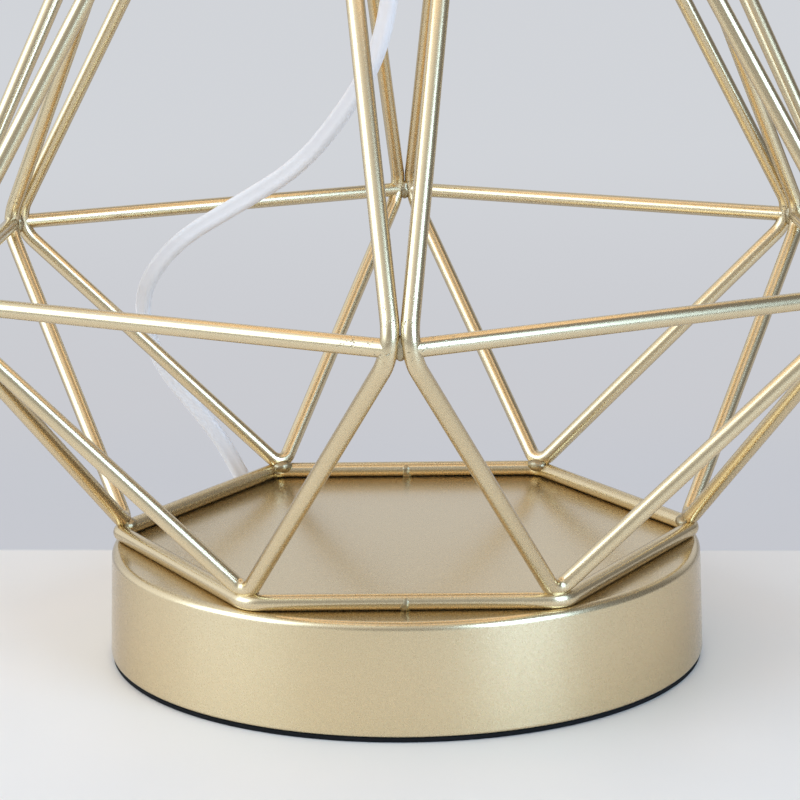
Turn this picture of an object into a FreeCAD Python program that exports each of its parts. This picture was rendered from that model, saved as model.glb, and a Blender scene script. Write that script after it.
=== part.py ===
import FreeCAD, Part
import math
import os

Vec = FreeCAD.Vector
UP = Vec(0, 0, 1)
ORIGIN = Vec(0, 0, 0)

# Table lamp with a cage foot of bent wire. Millimetres, +Z up, the front faces -Y.
# The origin is the centre of the underside.

# Base
BASE_DIA = 150.0
BASE_HEIGHT = 28.0          # table to the top of the base
BASE_DRAFT = 0.9            # wall leans in by this much from bottom to top
BASE_EDGE_RADIUS = 2.0      # rounding of the cover's top edge
BASE_LIP_RADIUS = 0.9       # rounding of the cover's lower edge
COVER_WALL = 1.2
PAD_THICKNESS = 1.1
PAD_INSET = 0.4
BALLAST_CLEARANCE = 0.3
BALLAST_THICKNESS = 10.0
BALLAST_EDGE = 1.5

# Wire cage: corner places are where the straight runs would meet without their bends
WIRE_DIA = 4.0
SIDES = 6
CAGE_TURN = 30.0            # degrees, so that a flat side of the foot ring faces the front
RING_INSET = 2.0            # ring corner inside the base's edge
RING_BEND = 6.0
FOOT_INSET = 2.4            # kite foot corner inside the ring corner
GIRDLE_RADIUS = 123.0
GIRDLE_RISE = 72.0          # above the base
TOP_RADIUS = 38.0
TOP_RISE = 232.0            # above the base
FOOT_BEND = 3.4
SIDE_BEND = 9.0
TOP_BEND = 4.5
WELD_GAP = 0.06             # between two wires before they are welded
BAR_SETBACK = 0.3           # bar end to the centre of the wire that it butts on
GIRDLE_BEAD = 0.8           # how far a girdle weld reaches past the wires' near sides
GIRDLE_BEAD_PLACE = 0.30    # share of the side bend, from its lower end
FOOT_SINK = 1.0             # how far the weld lets a kite's foot into the ring
FOOT_BEAD_RADIUS = 2.4
FOOT_BEAD_INSET = 1.1       # beads sit on the inner side of the ring
RING_BEAD_STEP = 0.45       # height of the ring's butt weld over the wire

# Top plate and the tube that carries the lampholder
PLATE_THICKNESS = 3.0
PLATE_OVERHANG = 3.0        # past the outside of the kites' top bends
PLATE_EDGE_RADIUS = 1.0
TUBE_DIA = 10.0
TUBE_BORE = 7.0
TUBE_ABOVE = 9.0            # above the plate
HOLE_CLEARANCE = 0.15
WASHER_DIA = 22.0
WASHER_THICKNESS = 1.2
NUT_WIDTH = 15.0            # across flats
NUT_THICKNESS = 4.0
GRIP_DIA = 16.0
GRIP_NOSE_DIA = 7.0
GRIP_COLLAR = 9.0
GRIP_LENGTH = 28.0
GRIP_BITE = 7.0             # length of tube inside the grip
GRIP_GAP = 0.8              # below the nut
GRIP_SHOULDER = 1.5

# Lampholder
HOLDER_DIA = 40.0
HOLDER_WALL = 2.0
CAP_NECK_DIA = 18.0
CAP_NECK = 4.0
CAP_FLARE = 9.0
CAP_HEIGHT = 26.0
CAP_FLOOR = 5.0
BODY_DIA = 39.0
BODY_WALL = 3.3
BODY_HEIGHT = 40.0
SPIGOT_DEPTH = 4.0
SPIGOT_FLOOR = 3.0
SPIGOT_HOLE = 16.0
HOLDER_CLEARANCE = 0.1
INSERT_HEIGHT = 14.0
SHELL_WALL = 0.8
SHELL_HEIGHT = 23.0
CONTACT_DIA = 8.0
CONTACT_THICKNESS = 1.5
BAR_DIA = 4.0               # push bar of the switch
BAR_TRAVEL = 6.0
BAR_FIT = 0.06              # radial
BAR_TIP_DIA = 6.4
BAR_TIP_LENGTH = 3.4
BAR_TIP_ROUND = 1.0
BAR_TIP_CLEAR = 1.6         # between a pushed tip and the cap
BAR_RISE = 17.5             # above the plate
SHADE_RING_DIA = 54.0
SHADE_RING_HEIGHT = 7.0
SHADE_RING_RISE = 16.0      # lower shade ring above the cap
SHADE_RING_FLUTES = 18
SHADE_RING_FLUTE_DIA = 3.0
SHADE_RING_FLUTE_DEPTH = 0.6
THREAD_CLEARANCE = 0.1

# Bulb
BULB_DIA = 60.0
BULB_NECK_DIA = 28.0
BULB_CENTRE = 48.0          # middle of the globe above the screw cap
BULB_WALL = 0.9
SCREW_DIA = 26.4
SCREW_LENGTH = 22.0
SCREW_CHAMFER = 1.0
SCREW_CLEARANCE = 1.0       # to the holder's screw shell
TIP_DIA = 9.0
TIP_LENGTH = 4.0
TIP_GAP = 0.1

# Shade
SHADE_BOTTOM_DIA = 300.0
SHADE_TOP_DIA = 250.0
SHADE_HEIGHT = 190.0
SHADE_CLEAR = 6.0           # lower edge above the plate
SHADE_SKIN = 1.0
SHADE_WIRE_DIA = 3.0
SHADE_WIRE_INSET = 2.0      # edge of the skin to the wire ring
SHADE_SEAT = 0.15           # between the skin and its rings
FITTER_THICKNESS = 1.6
FITTER_CLEARANCE = 0.8      # round the holder's body
FITTER_RIM = 4.0            # past the shade rings
FITTER_GAP = 0.12           # to each shade ring
SHADE_ARMS = 3

# Flex: flat twin cord, drawn here as a round tube of its mean thickness
CORD_DIA = 4.0
# Way down through the cage: x, y and share of the height between the base and the cord grip
CORD_WAY = [(0.4, -0.3, 0.890), (-1.0, 0.2, 0.760), (-4.5, 2.5, 0.642), (-13.0, 11.0, 0.564),
            (-26.0, 27.0, 0.475), (-44.0, 46.0, 0.410), (-63.0, 62.0, 0.3445), (-74.5, 72.5, 0.256),
            (-70.5, 78.5, 0.151), (-58.0, 80.5, 0.058)]
# Landing: x, distance behind the base and share of the base's height
CORD_LANDING = [(-51.5, 5.4, 0.91), (-45.5, 4.8, 0.50)]
COIL_X = -26.0
COIL_BACK = 39.6            # coil centre behind the base
COIL_LEAD = 12.0            # straight run before the coil
COIL_START_ANGLE = -80.0    # degrees from +X
COIL_HALF_TURNS_IN = 6      # in the upper layer, inwards
COIL_HALF_TURNS_OUT = 9     # in the lower layer, outwards
COIL_INNER_RADIUS = 18.0
COIL_TURN_GAP = 0.75        # between neighbouring turns
COIL_LAYER_GAP = 0.6        # between the two layers
COIL_CLIMB_DIP = 0.7        # the climbing half turn runs this much further in
TIE_ANGLE = 20.0
TIE_WIDTH = 3.6
TIE_THICKNESS = 0.5
TIE_GAP = 0.1
TIE_FLOOR = 0.05            # tie above the table
TIE_HEAD = (4.6, 5.2, 2.0)
TIE_CORNER = 1.0

# Plug
PLUG_X = 8.0                # where the cord enters its strain relief
PLUG_BACK = 5.0             # the same place behind the base
PLUG_HEADING = -1.0         # degrees from +X, from the cord to the pins
TAIL_RUN = 6.5              # straight run from the coil
TAIL_LEAD = 6.5             # straight run into the plug
PLUG_RELIEF = 20.0
PLUG_BODY = 30.0
PLUG_WIDTH = 35.3
PLUG_DEPTH = 13.7
PLUG_FLOOR = 0.15
PIN_DIA = 4.0
PIN_LENGTH = 19.0
PIN_SPACING = 18.6
# Sections of the plug's body: share of its width, of its depth and of its length
PLUG_SECTIONS = [(0.36, 0.76, 0.0), (0.60, 0.92, 0.30), (0.94, 0.99, 0.66), (1.0, 1.0, 1.0)]
PLUG_ROUNDING = 0.46        # corner radius as a share of the depth
RELIEF_WALL = 0.9           # round the cord at the relief's end
RELIEF_ROOT_DIA = 9.3
RELIEF_RINGS = 4
RELIEF_GROOVE = 0.6

# Places that follow from the sizes above
RING_RADIUS = BASE_DIA / 2 - RING_INSET
FOOT_RADIUS = RING_RADIUS - FOOT_INSET
KITE_BENDS = [FOOT_BEND, SIDE_BEND, TOP_BEND, SIDE_BEND]
BAR_LENGTH = HOLDER_DIA + BAR_TRAVEL + 2 * (BAR_TIP_LENGTH + BAR_TIP_CLEAR)
SHELL_BORE = SCREW_DIA + 2 * SCREW_CLEARANCE
FITTER_BORE = BODY_DIA + 2 * FITTER_CLEARANCE
COIL_PITCH = CORD_DIA + COIL_TURN_GAP
COIL_LAYER = CORD_DIA + COIL_LAYER_GAP
COIL_CENTRE = Vec(COIL_X, BASE_DIA / 2 + COIL_BACK, 0)
PLUG_START = Vec(PLUG_X, BASE_DIA / 2 + PLUG_BACK, PLUG_FLOOR + PLUG_DEPTH / 2)


def polar(radius, angle, z=0.0):
    """Point at an azimuth counted from the front (-Y) towards +X."""
    turn = math.radians(angle)
    return Vec(radius * math.sin(turn), -radius * math.cos(turn), z)


def around(angle):
    """Unit vector along growing azimuth."""
    turn = math.radians(angle)
    return Vec(math.cos(turn), math.sin(turn), 0)


def turned(shape, angle):
    copy = shape.copy()
    copy.rotate(ORIGIN, UP, angle)
    return copy


def profile(start, *steps):
    """Closed face in the XZ plane. A step is a point, or a mid point and an end point of an arc."""
    edges = []
    here = Vec(start[0], 0, start[1])
    for step in steps + (start,):
        if isinstance(step[0], tuple):
            middle = Vec(step[0][0], 0, step[0][1])
            there = Vec(step[1][0], 0, step[1][1])
            edges.append(Part.Arc(here, middle, there).toShape())
        else:
            there = Vec(step[0], 0, step[1])
            edges.append(Part.LineSegment(here, there).toShape())
        here = there
    return Part.Face(Part.Wire(edges))


def quarter(centre, radius, from_angle):
    """Mid and end point of a quarter arc that turns anticlockwise about its centre."""
    points = []
    for angle in (from_angle + 45.0, from_angle + 90.0):
        turn = math.radians(angle)
        points.append((centre[0] + radius * math.cos(turn), centre[1] + radius * math.sin(turn)))
    return tuple(points)


def revolved(face):
    return face.revolve(ORIGIN, UP, 360)


def ring_solid(outer_radius, inner_radius, low, high):
    return revolved(profile((inner_radius, low), (outer_radius, low),
                            (outer_radius, high), (inner_radius, high)))


def corner_arc(before, corner, after, radius):
    """Start, middle and end of the bend that rounds a corner."""
    back = (before - corner).normalize()
    ahead = (after - corner).normalize()
    half = math.acos(back.dot(ahead)) / 2
    reach = radius / math.tan(half)
    inward = (back + ahead).normalize()
    middle = corner + inward * (radius / math.sin(half) - radius)
    return corner + back * reach, middle, corner + ahead * reach


def loop_arcs(corners, radii):
    count = len(corners)
    return [corner_arc(corners[i - 1], corners[i], corners[(i + 1) % count], radii[i]) for i in range(count)]


def bent_loop(corners, radii):
    """Closed loop of the cage wire: straight runs and bends, each swept by the wire's section."""
    arcs = loop_arcs(corners, radii)
    pieces = []
    for i, (start, middle, end) in enumerate(arcs):
        bend = Part.Arc(start, middle, end).toShape()
        along = (start - corners[i - 1]).normalize()
        section = Part.Face(Part.Wire(Part.makeCircle(WIRE_DIA / 2, start, along)))
        axis = (middle - start).cross(end - middle).normalize()
        sweep = math.degrees(bend.Length / bend.Curve.Radius)
        pieces.append(section.revolve(bend.Curve.Center, axis, sweep))
        run = arcs[(i + 1) % len(arcs)][0] - end
        pieces.append(Part.makeCylinder(WIRE_DIA / 2, run.Length, end, run))
    return pieces[0].multiFuse(pieces[1:]).removeSplitter()


def kite_corners(foot_z, side_shift):
    """Foot, right, top and left corner of the kite that faces the front before the cage is turned."""
    half = 180.0 / SIDES
    girdle_z = BASE_HEIGHT + GIRDLE_RISE
    right = polar(GIRDLE_RADIUS, half, girdle_z) - around(half) * side_shift
    left = polar(GIRDLE_RADIUS, -half, girdle_z) + around(-half) * side_shift
    foot = polar(FOOT_RADIUS, 0, foot_z)
    top = polar(TOP_RADIUS, 0, BASE_HEIGHT + TOP_RISE)
    return [foot, right, top, left]


def solve_kite():
    """Move the foot and side corners until the foot bend is let into the ring and neighbours just touch."""
    half = 180.0 / SIDES
    seat = BASE_HEIGHT + 1.5 * WIRE_DIA - FOOT_SINK
    touch = (WIRE_DIA + WELD_GAP) / 2
    foot_z = seat
    side_shift = touch
    for _ in range(30):
        corners = kite_corners(foot_z, side_shift)
        arcs = loop_arcs(corners, KITE_BENDS)
        side = Part.Arc(*arcs[1]).toShape()
        nearest = min(-p.dot(around(half)) for p in side.discretize(Number=81))
        foot_z += seat - arcs[0][1].z
        side_shift += touch - nearest
    return kite_corners(foot_z, side_shift)


def base_cover():
    radius = BASE_DIA / 2
    low = PAD_THICKNESS
    lip = min(BASE_LIP_RADIUS, 0.75 * COVER_WALL)
    inner_edge = max(BASE_EDGE_RADIUS - COVER_WALL, 0.3)
    top = radius - BASE_DRAFT
    inside = radius - COVER_WALL
    inside_top = top - COVER_WALL
    ceiling = BASE_HEIGHT - COVER_WALL
    bend = math.sqrt(0.5)
    inner_centre = (inside_top - inner_edge, ceiling - inner_edge)
    inner_middle = (inner_centre[0] + inner_edge * bend, inner_centre[1] + inner_edge * bend)
    return revolved(profile(
        (inside, low), (radius - lip, low),
        quarter((radius - lip, low + lip), lip, -90.0),
        (top, BASE_HEIGHT - BASE_EDGE_RADIUS),
        quarter((top - BASE_EDGE_RADIUS, BASE_HEIGHT - BASE_EDGE_RADIUS), BASE_EDGE_RADIUS, 0.0),
        (0, BASE_HEIGHT), (0, ceiling), (inner_centre[0], ceiling),
        (inner_middle, (inside_top, inner_centre[1]))))


def ballast():
    radius = BASE_DIA / 2 - BASE_DRAFT - COVER_WALL - BALLAST_CLEARANCE
    high = PAD_THICKNESS + BALLAST_THICKNESS
    return revolved(profile((0, PAD_THICKNESS), (radius, PAD_THICKNESS), (radius, high - BALLAST_EDGE),
                            (radius - BALLAST_EDGE, high), (0, high)))


def base_pad():
    return Part.makeCylinder(BASE_DIA / 2 - PAD_INSET, PAD_THICKNESS)


def ring_bead(angle):
    """Butt weld sunk into the upper half of the wire, in the middle of one side of the foot ring."""
    across = RING_RADIUS * math.cos(math.radians(180.0 / SIDES))
    return Part.makeSphere(WIRE_DIA / 2, polar(across, angle, BASE_HEIGHT + WIRE_DIA / 2 + RING_BEAD_STEP))


def foot_ring(beads, kites):
    """Six-sided ring, with room for its butt welds and for the feet that are let into it."""
    z = BASE_HEIGHT + WIRE_DIA / 2
    corners = [polar(RING_RADIUS, CAGE_TURN + 360.0 / SIDES * i, z) for i in range(SIDES)]
    return bent_loop(corners, [RING_BEND] * SIDES).cut([beads] + kites)


def girdle_bar(kite, side_right, side_left):
    """Straight bar across the kite, its ends cut to the round of the wire."""
    along = (side_left - side_right).normalize()
    start = side_right + along * BAR_SETBACK
    length = (side_left - side_right).Length - 2 * BAR_SETBACK
    return Part.makeCylinder(WIRE_DIA / 2, length, start, along).cut(kite)


def girdle_weld(kite, side_arc):
    """Bead in the crotch under the place where two neighbouring kites touch."""
    half = 180.0 / SIDES
    edge = Part.Arc(*side_arc).toShape()
    low = edge.valueAt(edge.FirstParameter + GIRDLE_BEAD_PLACE * (edge.LastParameter - edge.FirstParameter))
    offset = low.dot(around(half))
    centre = low - around(half) * offset
    bead = Part.makeSphere(abs(offset) - WIRE_DIA / 2 + GIRDLE_BEAD, centre)
    return bead.cut(kite).cut(turned(kite, 360.0 / SIDES))


def foot_weld(kite, ring, foot_middle):
    centre = Vec(foot_middle.x, foot_middle.y + FOOT_BEAD_INSET, BASE_HEIGHT + WIRE_DIA - FOOT_SINK / 2)
    return Part.makeSphere(FOOT_BEAD_RADIUS, centre).cut(kite).cut(ring)


def top_weld(kite, plate, top_middle):
    centre = top_middle + UP * (WIRE_DIA / 2)
    return Part.makeSphere(FOOT_BEAD_RADIUS, centre).cut(kite).cut(plate)


def top_plate(low, radius):
    high = low + PLATE_THICKNESS
    edge = min(PLATE_EDGE_RADIUS, 0.4 * PLATE_THICKNESS)
    bore = TUBE_DIA / 2 + HOLE_CLEARANCE
    return revolved(profile(
        (bore, low), (radius - edge, low),
        quarter((radius - edge, low + edge), edge, -90.0),
        (radius, high - edge),
        quarter((radius - edge, high - edge), edge, 0.0),
        (bore, high)))


def threaded_tube(low, plate_high):
    return ring_solid(TUBE_DIA / 2, TUBE_BORE / 2, low, plate_high + TUBE_ABOVE)


def lock_nut(high):
    corner = NUT_WIDTH / math.sqrt(3.0)
    points = [polar(corner, 60.0 * i, high - NUT_THICKNESS) for i in range(7)]
    block = Part.Face(Part.makePolygon(points)).extrude(UP * NUT_THICKNESS)
    return block.cut(Part.makeCylinder(TUBE_DIA / 2, NUT_THICKNESS, Vec(0, 0, high - NUT_THICKNESS)))


def cord_grip(high, tube_end):
    """Tapered grip on the lower end of the tube."""
    nose = GRIP_NOSE_DIA / 2
    low = high - GRIP_LENGTH
    body = revolved(profile(
        (0, low), (nose, low), (GRIP_DIA / 2 - GRIP_SHOULDER, high - GRIP_COLLAR),
        (GRIP_DIA / 2, high - GRIP_COLLAR + GRIP_SHOULDER), (GRIP_DIA / 2, high), (0, high)))
    return body.cut(Part.makeCylinder(TUBE_DIA / 2, high - tube_end, Vec(0, 0, tube_end)))


def holder_cap(low):
    radius = HOLDER_DIA / 2
    neck = CAP_NECK_DIA / 2
    shoulder = low + CAP_NECK + CAP_FLARE
    high = low + CAP_HEIGHT
    inside = radius - HOLDER_WALL
    bend = math.sqrt(0.5)
    flare = ((neck + (radius - neck) * bend, shoulder - CAP_FLARE * bend), (radius, shoulder))
    shell = revolved(profile(
        (TUBE_DIA / 2, low), (neck, low), (neck, low + CAP_NECK), flare, (radius, high),
        (inside, high), (inside, shoulder), (neck - HOLDER_WALL / 2, low + CAP_FLOOR),
        (TUBE_DIA / 2, low + CAP_FLOOR)))
    reach = HOLDER_DIA
    bore = Part.makeCylinder(BAR_DIA / 2 + BAR_FIT, 2 * reach, Vec(-reach, 0, low + BAR_RISE), Vec(1, 0, 0))
    return shell.cut(bore)


def push_bar(low):
    """Switch bar through the cap, drawn pushed to the +X side."""
    z = low + BAR_RISE
    start = -BAR_LENGTH / 2 + BAR_TRAVEL / 2
    bar = Part.makeCylinder(BAR_DIA / 2, BAR_LENGTH, Vec(start, 0, z), Vec(1, 0, 0))
    tips = []
    for x in (start, start + BAR_LENGTH - BAR_TIP_LENGTH):
        tip = Part.makeCylinder(BAR_TIP_DIA / 2, BAR_TIP_LENGTH, Vec(x, 0, z), Vec(1, 0, 0))
        tips.append(tip.makeFillet(BAR_TIP_ROUND, [tip.Edges[0], tip.Edges[2]]))
    return bar.multiFuse(tips).removeSplitter()


def holder_body(low):
    """Sleeve with a spigot that sits in the cap and a floor that carries the insert."""
    radius = BODY_DIA / 2
    inside = radius - BODY_WALL
    spigot = HOLDER_DIA / 2 - HOLDER_WALL - HOLDER_CLEARANCE
    bottom = low - SPIGOT_DEPTH
    floor = bottom + SPIGOT_FLOOR
    high = low + BODY_HEIGHT
    return revolved(profile(
        (SPIGOT_HOLE / 2, bottom), (spigot, bottom), (spigot, low), (radius, low), (radius, high),
        (inside, high), (inside, floor), (SPIGOT_HOLE / 2, floor)))


def holder_insert(low):
    radius = BODY_DIA / 2 - BODY_WALL - HOLDER_CLEARANCE
    return Part.makeCylinder(radius, INSERT_HEIGHT, Vec(0, 0, low))


def shade_ring(low):
    """Screw ring with a fluted rim."""
    outer = SHADE_RING_DIA / 2
    ring = ring_solid(outer, BODY_DIA / 2 + THREAD_CLEARANCE, low, low + SHADE_RING_HEIGHT)
    flutes = []
    for i in range(SHADE_RING_FLUTES):
        centre = polar(outer + SHADE_RING_FLUTE_DIA / 2 - SHADE_RING_FLUTE_DEPTH,
                       360.0 / SHADE_RING_FLUTES * i, low)
        flutes.append(Part.makeCylinder(SHADE_RING_FLUTE_DIA / 2, SHADE_RING_HEIGHT, centre))
    return ring.cut(Part.makeCompound(flutes))


def bulb_cap(tip_low):
    tip = TIP_DIA / 2
    screw = SCREW_DIA / 2
    shoulder = tip_low + TIP_LENGTH
    return revolved(profile(
        (0, tip_low), (tip, tip_low), (screw - SCREW_CHAMFER, shoulder - SCREW_CHAMFER), (screw, shoulder),
        (screw, shoulder + SCREW_LENGTH), (0, shoulder + SCREW_LENGTH)))


def globe(radius, neck, centre_z, low):
    """Face of a pear-shaped bulb: a straight neck that runs tangent into a round globe."""
    reach = math.hypot(neck, centre_z - low)
    touch = math.atan2(low - centre_z, neck) + math.acos(radius / reach)
    middle = (touch + math.pi / 2) / 2
    on_globe = [(radius * math.cos(a), centre_z + radius * math.sin(a)) for a in (touch, middle)]
    return profile((0, low), (neck, low), on_globe[0], (on_globe[1], (0, centre_z + radius)))


def bulb_glass(low):
    centre = low + BULB_CENTRE
    outside = revolved(globe(BULB_DIA / 2, BULB_NECK_DIA / 2, centre, low))
    inside = revolved(globe(BULB_DIA / 2 - BULB_WALL, BULB_NECK_DIA / 2 - BULB_WALL, centre, low))
    return outside.cut(inside)


def shade_radius(low, z):
    """Outer radius of the shade's skin at a height."""
    share = (z - low) / SHADE_HEIGHT
    return (SHADE_BOTTOM_DIA + (SHADE_TOP_DIA - SHADE_BOTTOM_DIA) * share) / 2


def shade_skin(low):
    bottom = SHADE_BOTTOM_DIA / 2
    top = SHADE_TOP_DIA / 2
    high = low + SHADE_HEIGHT
    return revolved(profile((bottom - SHADE_SKIN, low), (bottom, low), (top, high), (top - SHADE_SKIN, high)))


def shade_wire_radius(low, z):
    """Middle radius of a wire ring that lies inside the skin at a height."""
    lean = math.atan2((SHADE_BOTTOM_DIA - SHADE_TOP_DIA) / 2, SHADE_HEIGHT)
    return shade_radius(low, z) - SHADE_SKIN - (SHADE_SEAT + SHADE_WIRE_DIA / 2) / math.cos(lean)


def shade_wire_ring(low, z):
    return Part.makeTorus(shade_wire_radius(low, z), SHADE_WIRE_DIA / 2, Vec(0, 0, z))


def shade_frame(low, fitter_low):
    """Lower wire ring, fitter ring and the arms between them, welded to one piece."""
    ring_z = low + SHADE_WIRE_INSET + SHADE_WIRE_DIA / 2
    ring = shade_wire_ring(low, ring_z)
    fitter_radius = SHADE_RING_DIA / 2 + FITTER_RIM
    fitter = ring_solid(fitter_radius, FITTER_BORE / 2, fitter_low, fitter_low + FITTER_THICKNESS)
    arms = []
    for i in range(SHADE_ARMS):
        angle = 360.0 / SHADE_ARMS * i
        inner = polar(fitter_radius - FITTER_RIM / 2, angle, fitter_low + FITTER_THICKNESS / 2)
        outer = polar(shade_wire_radius(low, ring_z), angle, ring_z)
        arms.append(Part.makeCylinder(SHADE_WIRE_DIA / 2, (outer - inner).Length, inner, outer - inner))
    return ring.multiFuse([fitter] + arms).removeSplitter()


def arc_from(start, heading, end):
    """Arc that leaves start along a heading and ends at a point, with its heading there."""
    chord = end - start
    length = chord.Length
    ahead = chord * (1 / length)
    turn = math.acos(max(-1.0, min(1.0, heading.dot(ahead))))
    side = heading - ahead * heading.dot(ahead)
    bulge = side.normalize() * (length / 2 * math.tan(turn / 2))
    return Part.Arc(start, start + chord * 0.5 + bulge, end).toShape()


def biarc(start, heading, end, end_heading):
    """Two arcs that join two points with given headings smoothly."""
    chord = end - start
    spread = 2 * (1 - heading.dot(end_heading))
    lean = 2 * chord.dot(heading + end_heading)
    reach = (-lean + math.sqrt(lean * lean + 4 * spread * chord.dot(chord))) / (2 * spread)
    first = start + heading * reach
    second = end - end_heading * reach
    joint = (first + second) * 0.5
    joint_heading = (second - first).normalize()
    return [arc_from(start, heading, joint), arc_from(joint, joint_heading, end)]


def coil_nodes():
    """Places and headings along the coil: in through the upper layer, down, and out through the lower."""
    low = TIE_FLOOR + TIE_THICKNESS + TIE_GAP + CORD_DIA / 2
    climb = COIL_HALF_TURNS_IN
    nodes = []
    for i in range(COIL_HALF_TURNS_IN + COIL_HALF_TURNS_OUT + 2):
        angle = math.radians(COIL_START_ANGLE + 180.0 * i)
        from_climb = climb - i if i <= climb else i - climb - 1
        radius = COIL_INNER_RADIUS + COIL_PITCH / 2 * from_climb
        if from_climb == 0:
            radius -= COIL_CLIMB_DIP
        z = low + COIL_LAYER if i <= climb else low
        outward = Vec(math.cos(angle), math.sin(angle), 0)
        place = COIL_CENTRE + UP * z + outward * radius
        nodes.append((place, Vec(-outward.y, outward.x, 0)))
    return nodes


def coil_path(nodes):
    """Biarcs through the nodes, with a straight lead of one cord diameter at each end."""
    first, first_heading = nodes[0]
    last, last_heading = nodes[-1]
    edges = [Part.LineSegment(first - first_heading * CORD_DIA, first).toShape()]
    for (start, heading), (end, end_heading) in zip(nodes, nodes[1:]):
        edges += biarc(start, heading, end, end_heading)
    edges.append(Part.LineSegment(last, last + last_heading * CORD_DIA).toShape())
    return Part.Wire(edges)


def tube_along(path, start, heading):
    section = Part.Wire(Part.makeCircle(CORD_DIA / 2, start, heading))
    return path.makePipeShell([section], True, False)


def least_gap(path):
    """Smallest clear distance between stretches of the coil that are not neighbours along it."""
    count = int(path.Length / 1.5)
    points = path.discretize(Number=count)
    apart = int(10 * CORD_DIA / 1.5)
    least = path.Length
    for i, p in enumerate(points):
        for q in points[i + apart:]:
            least = min(least, (p - q).Length)
    return least - CORD_DIA


def route_path(points, name):
    """Straight runs joined by arcs as large as the runs allow."""
    edges = []
    here = points[0]
    radii = []
    for before, corner, after in zip(points, points[1:], points[2:]):
        back = (before - corner).normalize()
        ahead = (after - corner).normalize()
        half_turn = (math.pi - math.acos(max(-1.0, min(1.0, back.dot(ahead))))) / 2
        shorter = min((before - corner).Length, (after - corner).Length)
        radius = 0.45 * shorter / math.tan(half_turn)
        start, middle, end = corner_arc(before, corner, after, radius)
        edges.append(Part.LineSegment(here, start).toShape())
        edges.append(Part.Arc(start, middle, end).toShape())
        radii.append(radius)
        here = end
    edges.append(Part.LineSegment(here, points[-1]).toShape())
    path = Part.Wire(edges)
    print(name, "length", round(path.Length, 1), "radii", [round(r, 1) for r in radii])
    return path


def route_tube(points, name):
    path = route_path(points, name)
    tube = tube_along(path, points[0], points[1] - points[0])
    print(name, "volume share", round(tube.Volume / (math.pi * CORD_DIA ** 2 / 4 * path.Length), 4))
    return tube


def drop_route(exit_point, coil_start, coil_heading):
    """From the grip down inside the cage, out between two legs, behind the base and to the coil."""
    back = BASE_DIA / 2
    fall = exit_point.z - BASE_HEIGHT
    points = [exit_point]
    points += [Vec(x, y, BASE_HEIGHT + fall * share) for x, y, share in CORD_WAY]
    points += [Vec(x, back + y, BASE_HEIGHT * share) for x, y, share in CORD_LANDING]
    points.append(coil_start - coil_heading * COIL_LEAD)
    points.append(coil_start)
    return points


def tail_route(coil_end, coil_heading):
    turn = math.radians(PLUG_HEADING)
    ahead = Vec(math.cos(turn), math.sin(turn), 0)
    return [coil_end, coil_end + coil_heading * TAIL_RUN, PLUG_START - ahead * TAIL_LEAD, PLUG_START]


def coil_tie(nodes):
    """Flat band round the coil's bundle with a small lock on top."""
    reach = CORD_DIA / 2 + TIE_GAP
    radii = [(place - UP * place.z - COIL_CENTRE).Length for place, _ in nodes]
    heights = [place.z for place, _ in nodes]
    inner = (min(radii) - reach, min(heights) - reach)
    size = (max(radii) - min(radii) + 2 * reach, max(heights) - min(heights) + 2 * reach)

    def block(margin):
        box = Part.makeBox(size[0] + 2 * margin, TIE_WIDTH, size[1] + 2 * margin,
                           Vec(inner[0] - margin, -TIE_WIDTH / 2, inner[1] - margin))
        upright = [e for e in box.Edges if abs(e.Vertexes[0].Y - e.Vertexes[1].Y) > TIE_WIDTH / 2]
        return box.makeFillet(TIE_CORNER + margin, upright)

    band = block(TIE_THICKNESS).cut(block(0.0))
    top = inner[1] + size[1] + TIE_THICKNESS / 2
    head = Part.makeBox(TIE_HEAD[0], TIE_HEAD[1], TIE_HEAD[2],
                        Vec(inner[0] + size[0] / 2, -TIE_HEAD[1] / 2, top))
    tie = band.fuse(head).removeSplitter()
    tie.rotate(ORIGIN, UP, TIE_ANGLE)
    tie.translate(COIL_CENTRE)
    return tie


def rounded_section(width, depth, s):
    """Rounded rectangle across the plug's axis at a distance from its cord end."""
    radius = PLUG_ROUNDING * depth
    w = width / 2
    d = depth / 2
    bend = radius * (1 - math.sqrt(0.5))
    points = [Vec(s, w, d - radius), Vec(s, w - bend, d - bend), Vec(s, w - radius, d),
              Vec(s, radius - w, d), Vec(s, bend - w, d - bend), Vec(s, -w, d - radius),
              Vec(s, -w, radius - d), Vec(s, bend - w, bend - d), Vec(s, radius - w, -d),
              Vec(s, w - radius, -d), Vec(s, w - bend, bend - d), Vec(s, w, radius - d)]
    edges = []
    for i in (0, 3, 6, 9):
        edges.append(Part.Arc(points[i], points[i + 1], points[i + 2]).toShape())
        edges.append(Part.LineSegment(points[i + 2], points[(i + 3) % 12]).toShape())
    return Part.Wire(edges)


def plug_placed(shape):
    """From the plug's own frame, cord end at the origin and pins along +X, to its place on the table."""
    shape.rotate(ORIGIN, UP, PLUG_HEADING)
    shape.translate(PLUG_START)
    return shape


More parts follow.
